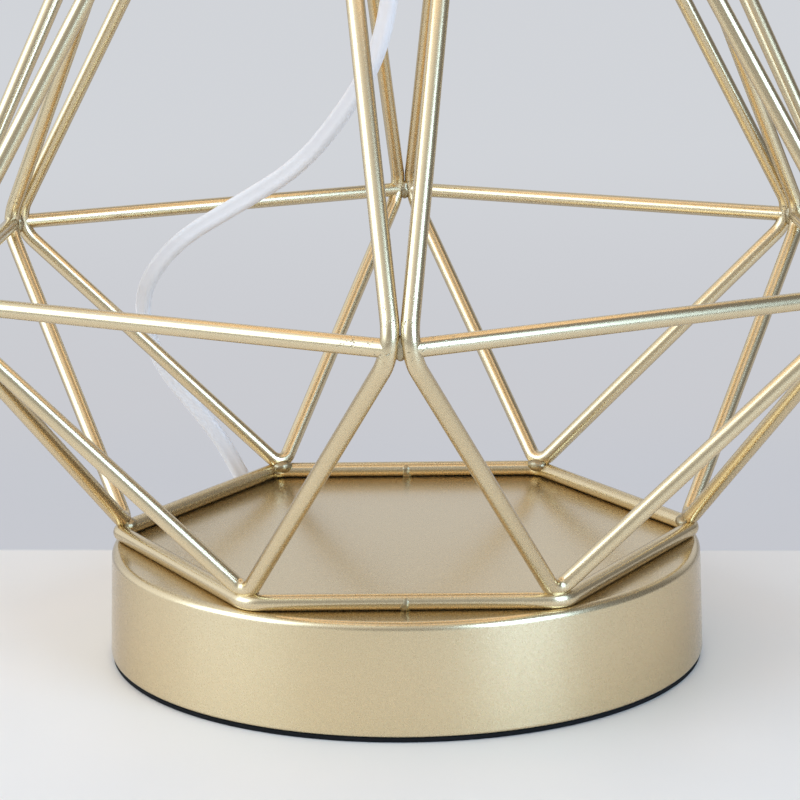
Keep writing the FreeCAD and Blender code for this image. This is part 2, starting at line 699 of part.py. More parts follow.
def plug_body():
    """Flat moulded plug with a waist for the fingers and a tapered, ringed strain relief."""
    sections = [rounded_section(wide * PLUG_WIDTH, deep * PLUG_DEPTH, PLUG_RELIEF + along * PLUG_BODY)
                for wide, deep, along in PLUG_SECTIONS]
    body = Part.makeLoft(sections, True, False)
    tail = CORD_DIA / 2 + RELIEF_WALL
    root = RELIEF_ROOT_DIA / 2
    step = PLUG_RELIEF / RELIEF_RINGS
    overlap = PLUG_RELIEF + RELIEF_WALL
    outline = [(0.0, 0.0), (0.0, tail)]
    for i in range(RELIEF_RINGS):
        groove = (step * (i + 0.55), step * (i + 0.85))
        radii = [tail + (root - tail) * x / PLUG_RELIEF for x in groove]
        outline += [(groove[0], radii[0]), (groove[0], radii[0] - RELIEF_GROOVE),
                    (groove[1], radii[1] - RELIEF_GROOVE), (groove[1], radii[1])]
    outline += [(PLUG_RELIEF, root), (overlap, root), (overlap, 0.0), (0.0, 0.0)]
    face = Part.Face(Part.makePolygon([Vec(x, 0, r) for x, r in outline]))
    relief = face.revolve(ORIGIN, Vec(1, 0, 0), 360)
    return plug_placed(body.fuse(relief).removeSplitter())


def plug_pins():
    front = PLUG_RELIEF + PLUG_BODY
    pins = []
    for side in (-1, 1):
        pin = Part.makeCylinder(PIN_DIA / 2, PIN_LENGTH, Vec(front, side * PIN_SPACING / 2, 0), Vec(1, 0, 0))
        tip = [e for e in pin.Edges if abs(e.BoundBox.XMin - front - PIN_LENGTH) < 0.01]
        pins.append(pin.makeFillet(0.4 * PIN_DIA, tip))
    return plug_placed(Part.makeCompound(pins))


def copies(shape):
    """The same piece at each side of the cage, at its final turn."""
    return [turned(shape, CAGE_TURN + 360.0 / SIDES * i) for i in range(SIDES)]


def build():
    nodes = {}
    nodes["base_cover"] = base_cover()
    nodes["ballast"] = ballast()
    nodes["base_pad"] = base_pad()

    corners = solve_kite()
    arcs = loop_arcs(corners, KITE_BENDS)
    kite = bent_loop(corners, KITE_BENDS)
    front_side = CAGE_TURN - 180.0 / SIDES
    beads = Part.makeCompound([ring_bead(front_side + 180.0 * i) for i in (0, 1)])
    ring = foot_ring(beads, copies(kite))
    foot_middle, right_middle, top_middle, left_middle = [arc[1] for arc in arcs]
    plate_low = top_middle.z + WIRE_DIA / 2 + WELD_GAP
    plate_high = plate_low + PLATE_THICKNESS
    plate_radius = -top_middle.y + WIRE_DIA / 2 + PLATE_OVERHANG
    plate = top_plate(plate_low, plate_radius)

    nodes["foot_ring"] = ring
    for i, shape in enumerate(copies(kite)):
        nodes["kite_frame_%d" % (i + 1)] = shape
    for i, shape in enumerate(copies(girdle_bar(kite, right_middle, left_middle))):
        nodes["girdle_bar_%d" % (i + 1)] = shape
    nodes["girdle_welds"] = Part.makeCompound(copies(girdle_weld(kite, arcs[1])))
    nodes["foot_welds"] = Part.makeCompound(copies(foot_weld(kite, turned(ring, -CAGE_TURN), foot_middle)))
    nodes["top_welds"] = Part.makeCompound(copies(top_weld(kite, plate, top_middle)))
    nodes["ring_welds"] = beads

    nodes["top_plate"] = plate
    bore = TUBE_DIA / 2 + HOLE_CLEARANCE
    nut_high = plate_low - WASHER_THICKNESS
    grip_high = nut_high - NUT_THICKNESS - GRIP_GAP
    tube_low = grip_high - GRIP_BITE
    nodes["plate_washer"] = ring_solid(WASHER_DIA / 2, bore, nut_high, plate_low)
    nodes["lock_nut"] = lock_nut(nut_high)
    nodes["threaded_tube"] = threaded_tube(tube_low, plate_high)
    nodes["cord_grip"] = cord_grip(grip_high, tube_low)

    cap_high = plate_high + CAP_HEIGHT
    insert_low = cap_high - SPIGOT_DEPTH + SPIGOT_FLOOR
    insert_high = insert_low + INSERT_HEIGHT
    nodes["holder_cap"] = holder_cap(plate_high)
    nodes["push_bar"] = push_bar(plate_high)
    nodes["holder_body"] = holder_body(cap_high)
    nodes["holder_insert"] = holder_insert(insert_low)
    nodes["screw_shell"] = ring_solid(SHELL_BORE / 2 + SHELL_WALL, SHELL_BORE / 2,
                                      insert_high, insert_high + SHELL_HEIGHT)
    nodes["centre_contact"] = Part.makeCylinder(CONTACT_DIA / 2, CONTACT_THICKNESS, Vec(0, 0, insert_high))
    lower_ring = cap_high + SHADE_RING_RISE
    fitter_low = lower_ring + SHADE_RING_HEIGHT + FITTER_GAP
    upper_ring = fitter_low + FITTER_THICKNESS + FITTER_GAP
    nodes["shade_ring_lower"] = shade_ring(lower_ring)
    nodes["shade_ring_upper"] = shade_ring(upper_ring)

    tip_low = insert_high + CONTACT_THICKNESS + TIP_GAP
    glass_low = tip_low + TIP_LENGTH + SCREW_LENGTH
    nodes["bulb_cap"] = bulb_cap(tip_low)
    nodes["bulb_glass"] = bulb_glass(glass_low)

    shade_low = plate_high + SHADE_CLEAR
    top_ring_z = shade_low + SHADE_HEIGHT - SHADE_WIRE_INSET - SHADE_WIRE_DIA / 2
    nodes["shade_skin"] = shade_skin(shade_low)
    nodes["shade_top_ring"] = shade_wire_ring(shade_low, top_ring_z)
    nodes["shade_frame"] = shade_frame(shade_low, fitter_low)

    exit_point = Vec(0, 0, grip_high - GRIP_LENGTH)
    coil = coil_nodes()
    coil_start = coil[0][0] - coil[0][1] * CORD_DIA
    coil_end = coil[-1][0] + coil[-1][1] * CORD_DIA
    drop = drop_route(exit_point, coil_start, coil[0][1])
    nodes["cord_drop"] = route_tube(drop, "cord_drop")
    path = coil_path(coil)
    nodes["cord_coil"] = tube_along(path, coil_start, coil[0][1])
    print("cord_coil length", round(path.Length, 1), "least gap", round(least_gap(path), 2),
          "volume share", round(nodes["cord_coil"].Volume / (math.pi * CORD_DIA ** 2 / 4 * path.Length), 4))
    tail = tail_route(coil_end, coil[-1][1])
    nodes["cord_tail"] = route_tube(tail, "cord_tail")
    nodes["coil_tie"] = coil_tie(coil)
    nodes["plug_body"] = plug_body()
    nodes["plug_pins"] = plug_pins()
    return nodes


os.makedirs("parts", exist_ok=True)
for node_name, node_shape in build().items():
    if not node_shape.isValid():
        print("invalid solid", node_name)
    print(node_name, "solids", len(node_shape.Solids), "volume", round(node_shape.Volume, 1))
    node_shape.exportStep("parts/%s.step" % node_name)
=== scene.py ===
import math

import bpy
from bpy.props import FloatProperty, FloatVectorProperty, IntProperty, PointerProperty
from mathutils import Matrix, Vector


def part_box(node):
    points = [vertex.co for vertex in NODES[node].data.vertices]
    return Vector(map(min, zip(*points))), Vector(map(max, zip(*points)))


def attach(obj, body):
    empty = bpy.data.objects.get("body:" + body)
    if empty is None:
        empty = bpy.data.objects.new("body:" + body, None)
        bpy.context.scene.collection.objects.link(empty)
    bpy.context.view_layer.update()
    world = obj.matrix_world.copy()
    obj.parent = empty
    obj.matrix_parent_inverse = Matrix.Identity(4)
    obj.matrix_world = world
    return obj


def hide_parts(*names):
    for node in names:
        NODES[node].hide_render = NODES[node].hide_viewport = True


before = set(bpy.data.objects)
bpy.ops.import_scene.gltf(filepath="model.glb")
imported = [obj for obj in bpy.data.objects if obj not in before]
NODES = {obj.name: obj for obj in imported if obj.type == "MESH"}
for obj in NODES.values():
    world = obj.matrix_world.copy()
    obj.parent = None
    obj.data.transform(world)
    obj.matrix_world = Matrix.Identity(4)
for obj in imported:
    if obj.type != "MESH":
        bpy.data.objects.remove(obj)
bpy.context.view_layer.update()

bl_info = {
    "name": "Wire cage table lamp",
    "version": (1, 0, 0),
    "blender": (4, 5, 0),
    "location": "View3D > Sidebar > Lamp",
    "description": "Builds a table lamp with a cage foot of bent wire, its flex and shade, and a plain stage",
    "category": "Add Mesh",
}

MM = 0.001
FULL_TURN = 2 * math.pi
CLOTH_MAP = "Cloth"  # map of the flat cloth, in metres
SLUBS = 22.0  # thick places along a metre of thread
TURNED_CREASE = math.radians(35.0)
CLOTH_CREASE = math.radians(50.0)
BEND_POINTS = 14  # points in each rounded bend of a wire
CLOTH_COLUMNS = 360
CLOTH_ROWS = 48
EDGE_STEP = 0.004  # rounding of the shade's edges, as a share of its slant
HEM_STEP = 0.003  # step at the end of a turned edge, likewise


class Sock:
    """An output of a node that can be used in sums."""

    def __init__(self, graph, node, out=0):
        self.graph = graph
        self.node = node
        self.socket = node.outputs[out] if node.outputs else None

    def out(self, name):
        return Sock(self.graph, self.node, name)

    def __setitem__(self, key, value):
        """Gives an input of the node a value or a link."""
        self.graph.join(value, self.node.inputs[key])

    def maths(self, operation, first, second=0.0):
        return self.graph.add("ShaderNodeMath", {"operation": operation}, {0: first, 1: second})

    def __add__(self, other):
        return self.maths("ADD", self, other)

    def __radd__(self, other):
        return self.maths("ADD", other, self)

    def __sub__(self, other):
        return self.maths("SUBTRACT", self, other)

    def __rsub__(self, other):
        return self.maths("SUBTRACT", other, self)

    def __mul__(self, other):
        return self.maths("MULTIPLY", self, other)

    def __rmul__(self, other):
        return self.maths("MULTIPLY", other, self)

    def __truediv__(self, other):
        return self.maths("DIVIDE", self, other)

    def __rtruediv__(self, other):
        return self.maths("DIVIDE", other, self)

    def __neg__(self):
        return self.maths("MULTIPLY", self, -1.0)

    def __abs__(self):
        return self.maths("ABSOLUTE", self)

    def __gt__(self, other):
        return self.maths("GREATER_THAN", self, other)

    def __lt__(self, other):
        return self.maths("LESS_THAN", self, other)

    def call(self, operation):
        return self.maths(operation, self)

    def ramp(self, low, high):
        """0 below low, 1 above high and smooth between."""
        return self.graph.add("ShaderNodeMapRange", {"interpolation_type": "SMOOTHSTEP", "clamp": True},
                              {0: self, 1: low, 2: high, 3: 0.0, 4: 1.0})


class Graph:
    """A node tree and the ways to add to it."""

    def __init__(self, tree):
        self.tree = tree
        self.tree.nodes.clear()

    def add(self, kind, settings=None, sockets=None, out=0):
        """Any node: its settings first, because they decide its sockets, then the sockets."""
        node = self.tree.nodes.new(kind)
        for key, value in (settings or {}).items():
            setattr(node, key, value)
        for key, value in (sockets or {}).items():
            self.join(value, node.inputs[key])
        return Sock(self, node, out)

    def join(self, value, place):
        if isinstance(value, Sock):
            self.tree.links.new(value.socket, place)
        else:
            place.default_value = value

    def object_place(self):
        return self.add("ShaderNodeTexCoord", out="Object")

    def parts(self, vector):
        split = self.add("ShaderNodeSeparateXYZ", {}, {0: vector})
        return split.out("X"), split.out("Y"), split.out("Z")

    def scaled(self, vector, factors):
        return self.add("ShaderNodeVectorMath", {"operation": "MULTIPLY"}, {0: vector, 1: factors})

    def noise(self, place, scale, detail=2.0):
        return self.add("ShaderNodeTexNoise", {}, {"Vector": place, "Scale": scale, "Detail": detail})

    def cells(self, place, scale):
        return self.add("ShaderNodeTexVoronoi", {}, {"Vector": place, "Scale": scale})

    def mixed(self, factor, first, second):
        return self.add("ShaderNodeMix", {"data_type": "RGBA"}, {0: factor, 6: first, 7: second}, out=2)

    def bump(self, height, depth):
        return self.add("ShaderNodeBump", {}, {"Strength": 1.0, "Distance": depth, "Height": height})


def colour(red, green, blue):
    return (red, green, blue, 1.0)


def opaque(tint, share=1.0):
    """A colour from the settings, darkened to a share of itself, as a socket takes it."""
    return colour(*(share * c for c in tint))


def finish_of(name, **constants):
    """New material: its tree and its surface shader, with the constant inputs set on the shader."""
    material = bpy.data.materials.new(name)
    material.use_nodes = True
    graph = Graph(material.node_tree)
    sockets = {key.replace("_", " "): value for key, value in constants.items()}
    shader = graph.add("ShaderNodeBsdfPrincipled", {}, sockets)
    graph.add("ShaderNodeOutputMaterial", {}, {"Surface": shader})
    return material, graph, shader


# Specks in the paint: where they fade, up or down from the side bends and out from the axis
SPECKS_UP = (0.009, 0.003)
SPECKS_OUT = (0.1165, 0.1185)
# How large a speck is in its cell, how soft its edge, and how they gather in patches
SPECK_SIZE = 0.42
SPECK_EDGE = 0.25
SPECK_PATCHES = (0.5, 0.62)


def champagne_metal(name="champagne_paint", dull=0.0):
    """Satin champagne paint: fine flakes under lacquer, specks where the wire is bent. Welds are duller."""
    look = bpy.context.scene.lamp_finish
    material, graph, shader = finish_of(name, Metallic=1.0, Coat_Weight=look.metal_coat * (1.0 - dull),
                                        Coat_Roughness=look.coat_roughness,
                                        Specular_Tint=opaque(look.metal_edge))
    place = graph.object_place()
    x, y, z = graph.parts(place)
    flake = graph.cells(place, 1.0 / look.flake).out("Color")
    tone, _, sparkle = graph.parts(flake)
    radius = (x * x + y * y).call("SQRT")
    girdle = abs(z - look.girdle_height).ramp(*SPECKS_UP) * radius.ramp(*SPECKS_OUT)
    pits = (SPECK_SIZE - graph.cells(place, 1.0 / look.pit).out("Distance")).ramp(0.0, SPECK_EDGE)
    pits = pits * graph.noise(place, scale=420.0, detail=1.0).ramp(*SPECK_PATCHES) * girdle
    grain = graph.noise(place, scale=2400.0, detail=3.0)
    peel = graph.noise(place, scale=380.0, detail=1.0)
    cloud = graph.noise(place, scale=26.0)
    light = opaque(look.metal_light, 1.0 - dull)
    deep = opaque(look.metal_deep, 1.0 - dull)
    pit = opaque(look.metal_deep, 0.35)
    paint = graph.mixed(tone * 0.15 + cloud * 0.85, deep, light)
    shader["Base Color"] = graph.mixed(pits, paint, pit)
    rough = look.metal_roughness + sparkle * 0.02 + cloud * 0.03 + pits * 0.2 + 0.25 * dull
    shader["Roughness"] = rough
    height = grain * (0.2 + 12.0 * dull) + sparkle * 0.05 + peel * 0.8 - pits * 18.0
    shader["Normal"] = graph.bump(height, look.metal_relief)
    return material


def pad_black():
    """Black foam with short fibres."""
    material, graph, shader = finish_of("pad_foam", Metallic=0.0, Specular_IOR_Level=0.15)
    place = graph.object_place()
    fibre = graph.noise(place, scale=1900.0, detail=4.0)
    cloud = graph.noise(place, scale=60.0)
    deep = colour(0.003, 0.003, 0.003)
    light = colour(0.014, 0.014, 0.015)
    shader["Base Color"] = graph.mixed(fibre * 0.7 + cloud * 0.3, deep, light)
    shader["Roughness"] = 0.78 + fibre * 0.2
    shader["Normal"] = graph.bump(fibre, depth=0.00012)
    return material


def brushed(name, light, deep, roughness):
    """Plain metal with fine turning lines round the upright axis and a cloudy tone."""
    material, graph, shader = finish_of(name, Metallic=1.0)
    place = graph.object_place()
    lines = graph.noise(graph.scaled(place, (40.0, 40.0, 9000.0)), scale=1.0)
    cloud = graph.noise(place, scale=130.0, detail=3.0)
    shader["Base Color"] = graph.mixed(cloud * 0.6 + lines * 0.4, opaque(deep), opaque(light))
    shader["Roughness"] = roughness + cloud * 0.12 + lines * 0.06
    shader["Normal"] = graph.bump(lines + cloud * 0.3, depth=0.00001)
    return material


def moulded(name, light, deep, roughness, relief):
    """Moulded plastic, glazed clay, cast iron or coated wire: faint clouds, fine texture."""
    material, graph, shader = finish_of(name, Metallic=0.0)
    place = graph.object_place()
    fine = graph.noise(place, scale=3200.0)
    cloud = graph.noise(place, scale=75.0, detail=3.0)
    shader["Base Color"] = graph.mixed(cloud, opaque(deep), opaque(light))
    shader["Roughness"] = roughness + cloud * 0.10 + fine * 0.08
    shader["Normal"] = graph.bump(fine, relief)
    return material


def opal_glass():
    """Opal bulb, lit from within."""
    material, graph, shader = finish_of("opal_bulb", Metallic=0.0, IOR=1.5, Coat_Weight=0.5,
                                        Emission_Strength=0.75)
    place = graph.object_place()
    cloud = graph.noise(place, scale=45.0)
    waves = graph.noise(place, scale=160.0, detail=1.0)
    shader["Base Color"] = graph.mixed(cloud, colour(0.38, 0.38, 0.37), colour(0.44, 0.44, 0.43))
    shader["Emission Color"] = graph.mixed(cloud, colour(1.0, 0.80, 0.55), colour(1.0, 0.86, 0.64))
    shader["Roughness"] = 0.16 + cloud * 0.10
    shader["Normal"] = graph.bump(waves, depth=0.00008)
    return material


def shade_fabric(name="linen_shade", glow=(0.30, 0.215, 0.125), middle=0.5, spread=0.16):
    """Plain-woven off-white cloth with a painted glow that stands in for the lit bulb inside it, brightest at
    middle, a share of the shade's height.
    """
    look = bpy.context.scene.lamp_shade
    material, graph, shader = finish_of(name, Metallic=0.0, Sheen_Weight=0.15, Emission_Strength=1.0)
    flat = graph.add("ShaderNodeUVMap", {"uv_map": CLOTH_MAP})
    u, v, _ = graph.parts(flat)
    warp = u / look.thread
    weft = v / look.thread
    over = ((warp.call("FLOOR") + weft.call("FLOOR")) * 0.5).call("FRACT") > 0.25
    ridge_u = abs((warp * math.pi).call("SINE"))
    ridge_v = abs((weft * math.pi).call("SINE"))
    cloth = over * ridge_u + (1.0 - over) * ridge_v
    slub_u = graph.noise(graph.scaled(flat, (1.0 / look.thread, SLUBS, 0.0)), scale=1.0, detail=1.0)
    slub_v = graph.noise(graph.scaled(flat, (SLUBS, 1.0 / look.thread, 0.0)), scale=1.0, detail=1.0)
    slub = slub_u * 0.5 + slub_v * 0.5
    tone = cloth * 0.55 + slub.ramp(0.3, 0.7) * 0.35 + 0.05
    shader["Base Color"] = graph.mixed(tone, colour(0.50, 0.475, 0.43), colour(0.66, 0.64, 0.60))
    shader["Roughness"] = 0.80 + cloth * 0.12
    shader["Normal"] = graph.bump(cloth * 0.7 + slub * 0.8, look.thread * 0.35)
    # Painted glow: emission standing in for the bulb's light through the cloth, strongest in a band round
    # middle
    away = abs(v - middle * look.height) / spread
    level = (1.0 - away * away * 0.8) * (0.86 + 0.14 * tone)
    shader["Emission Color"] = graph.mixed(level, opaque(glow, 0.25), opaque(glow))
    return material


def lining():
    """Inner side of the shade with a painted glow of the bulb's light on it, brighter than the outside and
    brightest low down.
    """
    return shade_fabric("shade_lining", bpy.context.scene.lamp_shade.glow, middle=0.15, spread=0.12)


def white_flex():
    """White sheath of the flex, rubbed a little."""
    material, graph, shader = finish_of("flex_sheath", Metallic=0.0, IOR=1.48)
    place = graph.object_place()
    cloud = graph.noise(place, scale=90.0, detail=3.0)
    rub = graph.noise(place, scale=900.0)
    deep = colour(0.80, 0.758, 0.744)
    light = colour(0.88, 0.836, 0.812)
    shader["Base Color"] = graph.mixed(cloud, deep, light)
    shader["Roughness"] = 0.40 + cloud * 0.12 + rub * 0.06
    shader["Normal"] = graph.bump(rub, depth=0.00002)
    return material


# Plain finishes: material's name, light tone, deep tone, roughness and, where moulded, depth of the texture
MOULDED = {
    "ballast_iron": ("ballast_cast_iron", (0.16, 0.155, 0.15), (0.09, 0.088, 0.085), 0.62, 0.00012),
    "white_plastic": ("white_moulding", (0.84, 0.84, 0.82), (0.78, 0.78, 0.76), 0.34, 0.00001),
    "ceramic_white": ("glazed_clay", (0.86, 0.85, 0.82), (0.77, 0.76, 0.72), 0.22, 0.00003),
    "shade_wire": ("white_coated_wire", (0.84, 0.84, 0.83), (0.76, 0.76, 0.74), 0.40, 0.00003),
}
BRUSHED = {
    "zinc_steel": ("zinc_plate", (0.68, 0.68, 0.67), (0.50, 0.51, 0.52), 0.30),
    "contact_brass": ("contact_brass_sheet", (0.80, 0.62, 0.30), (0.62, 0.46, 0.20), 0.28),
    "cap_aluminium": ("cap_sheet", (0.80, 0.80, 0.79), (0.66, 0.66, 0.66), 0.30),
    "pin_metal": ("nickel_pin", (0.72, 0.71, 0.68), (0.58, 0.57, 0.54), 0.22),
}
MAKERS = {
    "champagne_metal": champagne_metal,
    "weld_metal": lambda: champagne_metal("champagne_weld", dull=0.45),
    "pad_black": pad_black,
    "white_flex": white_flex,
    "opal_glass": opal_glass,
    "shade_fabric": shade_fabric,
    "shade_lining": lining,
}
made = {}


def finish(slot):
    """The material of a slot, made once."""
    if slot not in made:
        if slot in MOULDED:
            made[slot] = moulded(*MOULDED[slot])
        elif slot in BRUSHED:
            made[slot] = brushed(*BRUSHED[slot])
        else:
            made[slot] = MAKERS[slot]()
    return made[slot]


def dress(*names):
    """Gives solids that are shown as they are the finish of their slot."""
    for name in names:
        node = NODES[name]
        slot = node.data.materials[0].name
        node.data.materials.clear()
        node.data.materials.append(finish(slot))


def placed(piece, slot, body="lamp", stands_for=()):
    """Puts a new piece with its body, gives it the finish of its slot if it has none, and hides the solids
    that it stands for.
    """
    if piece.type == "MESH" and not piece.data.polygons:
        raise RuntimeError("no faces in " + piece.name)
    if not piece.data.materials:
        piece.data.materials.append(finish(slot))
    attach(piece, body)
    if stands_for:
        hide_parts(*stands_for)
    return piece


def shown(name, data):
    """New object in the scene."""
    piece = bpy.data.objects.new(name, data)
    bpy.context.scene.collection.objects.link(piece)
    return piece


def arc(centre, radius, start, end, steps=10):
    """Points of a rounded edge in an outline. Angles in degrees, from outwards to up."""
    turns = [math.radians(start + (end - start) * i / steps) for i in range(steps + 1)]
    return [(centre[0] + radius * math.cos(t), centre[1] + radius * math.sin(t)) for t in turns]


def turned(name, outline, segments=512):
    """Solid of revolution. The outline, in radii and heights, starts and ends on the axis."""
    verts = []
    rings = []
    for radius, height in outline:
        count = segments if radius > 0 else 1
        ring = [len(verts) + i % count for i in range(segments)]
        rings.append(ring)
        angles = [FULL_TURN * i / segments for i in range(count)]
        verts += [(radius * math.cos(a), radius * math.sin(a), height) for a in angles]
    faces = []
    for below, above in zip(rings, rings[1:]):
        for i in range(segments):
            j = (i + 1) % segments
            corners = (below[i], below[j], above[j], above[i])
            faces.append(tuple(dict.fromkeys(corners)))
    mesh = bpy.data.meshes.new(name)
    mesh.from_pydata(verts, [], faces)
    for face in mesh.polygons:
        face.use_smooth = True
    mesh.set_sharp_from_angle(angle=TURNED_CREASE)
    return shown(name, mesh)


SOCKET_KINDS = {float: "NodeSocketFloat", int: "NodeSocketInt", Vector: "NodeSocketVector"}


def grow(name, build, values, slot):
    """A plain mesh from a tree of geometry nodes with named inputs, its copies made real."""
    tree = bpy.data.node_groups.new(name, "GeometryNodeTree")
    tree.interface.new_socket("Geometry", in_out="OUTPUT", socket_type="NodeSocketGeometry")
    places = {}
    for label, value in values.items():
        kind = SOCKET_KINDS[type(value)]
        places[label] = tree.interface.new_socket(label, in_out="INPUT", socket_type=kind)
    paint = tree.interface.new_socket("Material", in_out="INPUT", socket_type="NodeSocketMaterial")
    graph = Graph(tree)
    entry = graph.add("NodeGroupInput")
    copies = build(graph, {label: entry.out(label) for label in values})
    real = graph.add("GeometryNodeRealizeInstances", {}, {"Geometry": copies})
    painted = graph.add("GeometryNodeSetMaterial", {}, {"Geometry": real, "Material": entry.out("Material")})
    graph.add("NodeGroupOutput", {}, {"Geometry": painted})

    piece = shown(name, bpy.data.meshes.new(name))
    modifier = piece.modifiers.new(name, "NODES")
    modifier.node_group = tree
    for label, value in values.items():
        modifier[places[label].identifier] = value
    modifier[paint.identifier] = finish(slot)
    depsgraph = bpy.context.evaluated_depsgraph_get()
    mesh = bpy.data.meshes.new_from_object(piece.evaluated_get(depsgraph), depsgraph=depsgraph)
    piece.modifiers.clear()
    empty = piece.data
    piece.data = mesh
    bpy.data.meshes.remove(empty)
    mesh.name = name
    return piece


def swept(graph, curve, wire, resolution=28):
    """Round wire along a curve."""
    section = graph.add("GeometryNodeCurvePrimitiveCircle", {"mode": "RADIUS"},
                        {"Resolution": resolution, "Radius": wire * 0.5})
    tube = graph.add("GeometryNodeCurveToMesh", {},
                     {"Curve": curve, "Profile Curve": section, "Fill Caps": True})
    return graph.add("GeometryNodeSetShadeSmooth", {}, {"Geometry": tube})


def all_round(graph, piece, count, turn):
    """Copies of a piece round the upright axis."""
    points = graph.add("GeometryNodePoints", {}, {"Count": count})
    angle = turn + graph.add("GeometryNodeInputIndex") * FULL_TURN / count
    rotation = graph.add("ShaderNodeCombineXYZ", {}, {"Z": angle})
    return graph.add("GeometryNodeInstanceOnPoints", {},
                     {"Points": points, "Instance": piece, "Rotation": rotation})


def raised(graph, piece, height):
    """A piece moved up."""
    shift = graph.add("ShaderNodeCombineXYZ", {}, {"Z": height})
    return graph.add("GeometryNodeTransform", {}, {"Geometry": piece, "Translation": shift})


def kite_tree(graph, given):
    """A wire bent to a kite, its bends rounded, repeated round the cage."""
    kite = graph.add("GeometryNodeCurvePrimitiveQuadrilateral", {"mode": "POINTS"},
                     {"Point 1": given["Foot"], "Point 2": given["Right"],
                      "Point 3": given["Top"], "Point 4": given["Left"]})
    corner = graph.add("GeometryNodeInputIndex")
    foot = corner < 0.5
    top = abs(corner - 2.0) < 0.5
    side = 1.0 - foot - top
    bend = foot * given["Foot bend"] + side * given["Side bend"] + top * given["Top bend"]
    rounded = graph.add("GeometryNodeFilletCurve", {"mode": "POLY"},
                        {"Curve": kite, "Count": BEND_POINTS, "Radius": bend, "Limit Radius": False})
    return all_round(graph, swept(graph, rounded, given["Wire"]), given["Count"], given["Turn"])


def ring_tree(graph, given):
    """Wire ring with straight sides and rounded corners."""
    ring = graph.add("GeometryNodeCurvePrimitiveCircle", {"mode": "RADIUS"},
                     {"Resolution": given["Count"], "Radius": given["Radius"]})
    rounded = graph.add("GeometryNodeFilletCurve", {"mode": "POLY"},
                        {"Curve": ring, "Count": BEND_POINTS, "Radius": given["Bend"], "Limit Radius": False})
    return raised(graph, swept(graph, rounded, given["Wire"]), given["Height"])


def bar_tree(graph, given):
    """Straight bar across each kite."""
    line = graph.add("GeometryNodeCurvePrimitiveLine", {"mode": "POINTS"},
                     {"Start": given["Right"], "End": given["Left"]})
    return all_round(graph, swept(graph, line, given["Wire"]), given["Count"], given["Turn"])


def bead_tree(graph, given):
    """Lumpy weld bead at the same place of each side."""
    ball = graph.add("GeometryNodeMeshIcoSphere", {}, {"Radius": given["Radius"], "Subdivisions": 4})
    stretched = graph.add("GeometryNodeTransform", {}, {"Geometry": ball, "Scale": given["Stretch"]})
    place = graph.add("GeometryNodeInputPosition")
    lumps = graph.add("ShaderNodeTexNoise", {},
                      {"Vector": place, "Scale": 1.1 / given["Radius"], "Detail": 2.0}) - 0.5
    outward = graph.add("ShaderNodeVectorMath", {"operation": "NORMALIZE"}, {0: place})
    shift = graph.add("ShaderNodeVectorMath", {"operation": "SCALE"},
                      {0: outward, "Scale": lumps * given["Lumps"]})
    lumpy = graph.add("GeometryNodeSetPosition", {}, {"Geometry": stretched, "Offset": shift})
    moved = graph.add("GeometryNodeTransform", {}, {"Geometry": lumpy, "Translation": given["Place"]})
    smooth = graph.add("GeometryNodeSetShadeSmooth", {}, {"Geometry": moved})
    return all_round(graph, smooth, given["Count"], given["Turn"])


def thread_tree(graph, given):
    """Screw thread: one ridge that winds up a cylinder."""
    spiral = graph.add("GeometryNodeCurveSpiral", {},
                       {"Resolution": 48, "Rotations": given["Height"] / given["Pitch"],
                        "Start Radius": given["Radius"], "End Radius": given["Radius"],
                        "Height": given["Height"]})
    return raised(graph, swept(graph, spiral, given["Ridge"], resolution=10), given["Low"])


def thread(name, slot, radius, low, high, pitch, ridge):
    """Screw thread between two heights."""
    values = {"Radius": radius, "Low": low, "Height": high - low, "Pitch": pitch, "Ridge": ridge}
    placed(grow(name, thread_tree, values, slot), slot)


def beads(node, radius, lumps, stretch, place, count, turn):
    """Weld beads that stand for the solids of a node."""
    values = {"Radius": radius, "Lumps": lumps, "Stretch": Vector(stretch), "Place": Vector(place),
              "Count": count, "Turn": turn}
    placed(grow(node + "_beads", bead_tree, values, "weld_metal"), "champagne_metal", "lamp", [node])


class FinishSettings(bpy.types.PropertyGroup):
    """Paint of the metal."""
    metal_light: FloatVectorProperty(name="Light tone", description="Colour of the lighter flakes",
                                     default=(0.776, 0.634, 0.396), subtype="COLOR", min=0.0, max=1.0)
    metal_deep: FloatVectorProperty(name="Deep tone", description="Colour of the deeper flakes",
                                    default=(0.713, 0.571, 0.340), subtype="COLOR", min=0.0, max=1.0)
    metal_edge: FloatVectorProperty(name="Edge tint", description="Tint of the paint seen at a low angle",
                                    default=(0.58, 0.53, 0.45), subtype="COLOR", min=0.0, max=1.0)
    metal_roughness: FloatProperty(name="Roughness", description="Least roughness of the satin paint",
                                   default=0.25, min=0.0, max=1.0, subtype="FACTOR")
    metal_coat: FloatProperty(name="Lacquer", description="Strength of the clear lacquer over the flakes",
                              default=0.85, min=0.0, max=1.0, subtype="FACTOR")
    coat_roughness: FloatProperty(name="Lacquer roughness", description="Roughness of the clear lacquer",
                                  default=0.18, min=0.0, max=1.0, subtype="FACTOR")
    metal_relief: FloatProperty(name="Relief", description="Depth of the paint's grain",
                                default=0.000004, unit="LENGTH", precision=6)
    flake: FloatProperty(name="Flake", description="Size of a paint flake", default=0.00022, unit="LENGTH",
                         precision=5)
    pit: FloatProperty(name="Pit", description="Size of the specks in the paint at the bends", default=0.0005,
                       unit="LENGTH", precision=5)
    girdle_height: FloatProperty(name="Bend height", description="Height of the side bends above the table",
                                 default=0.1035, unit="LENGTH")


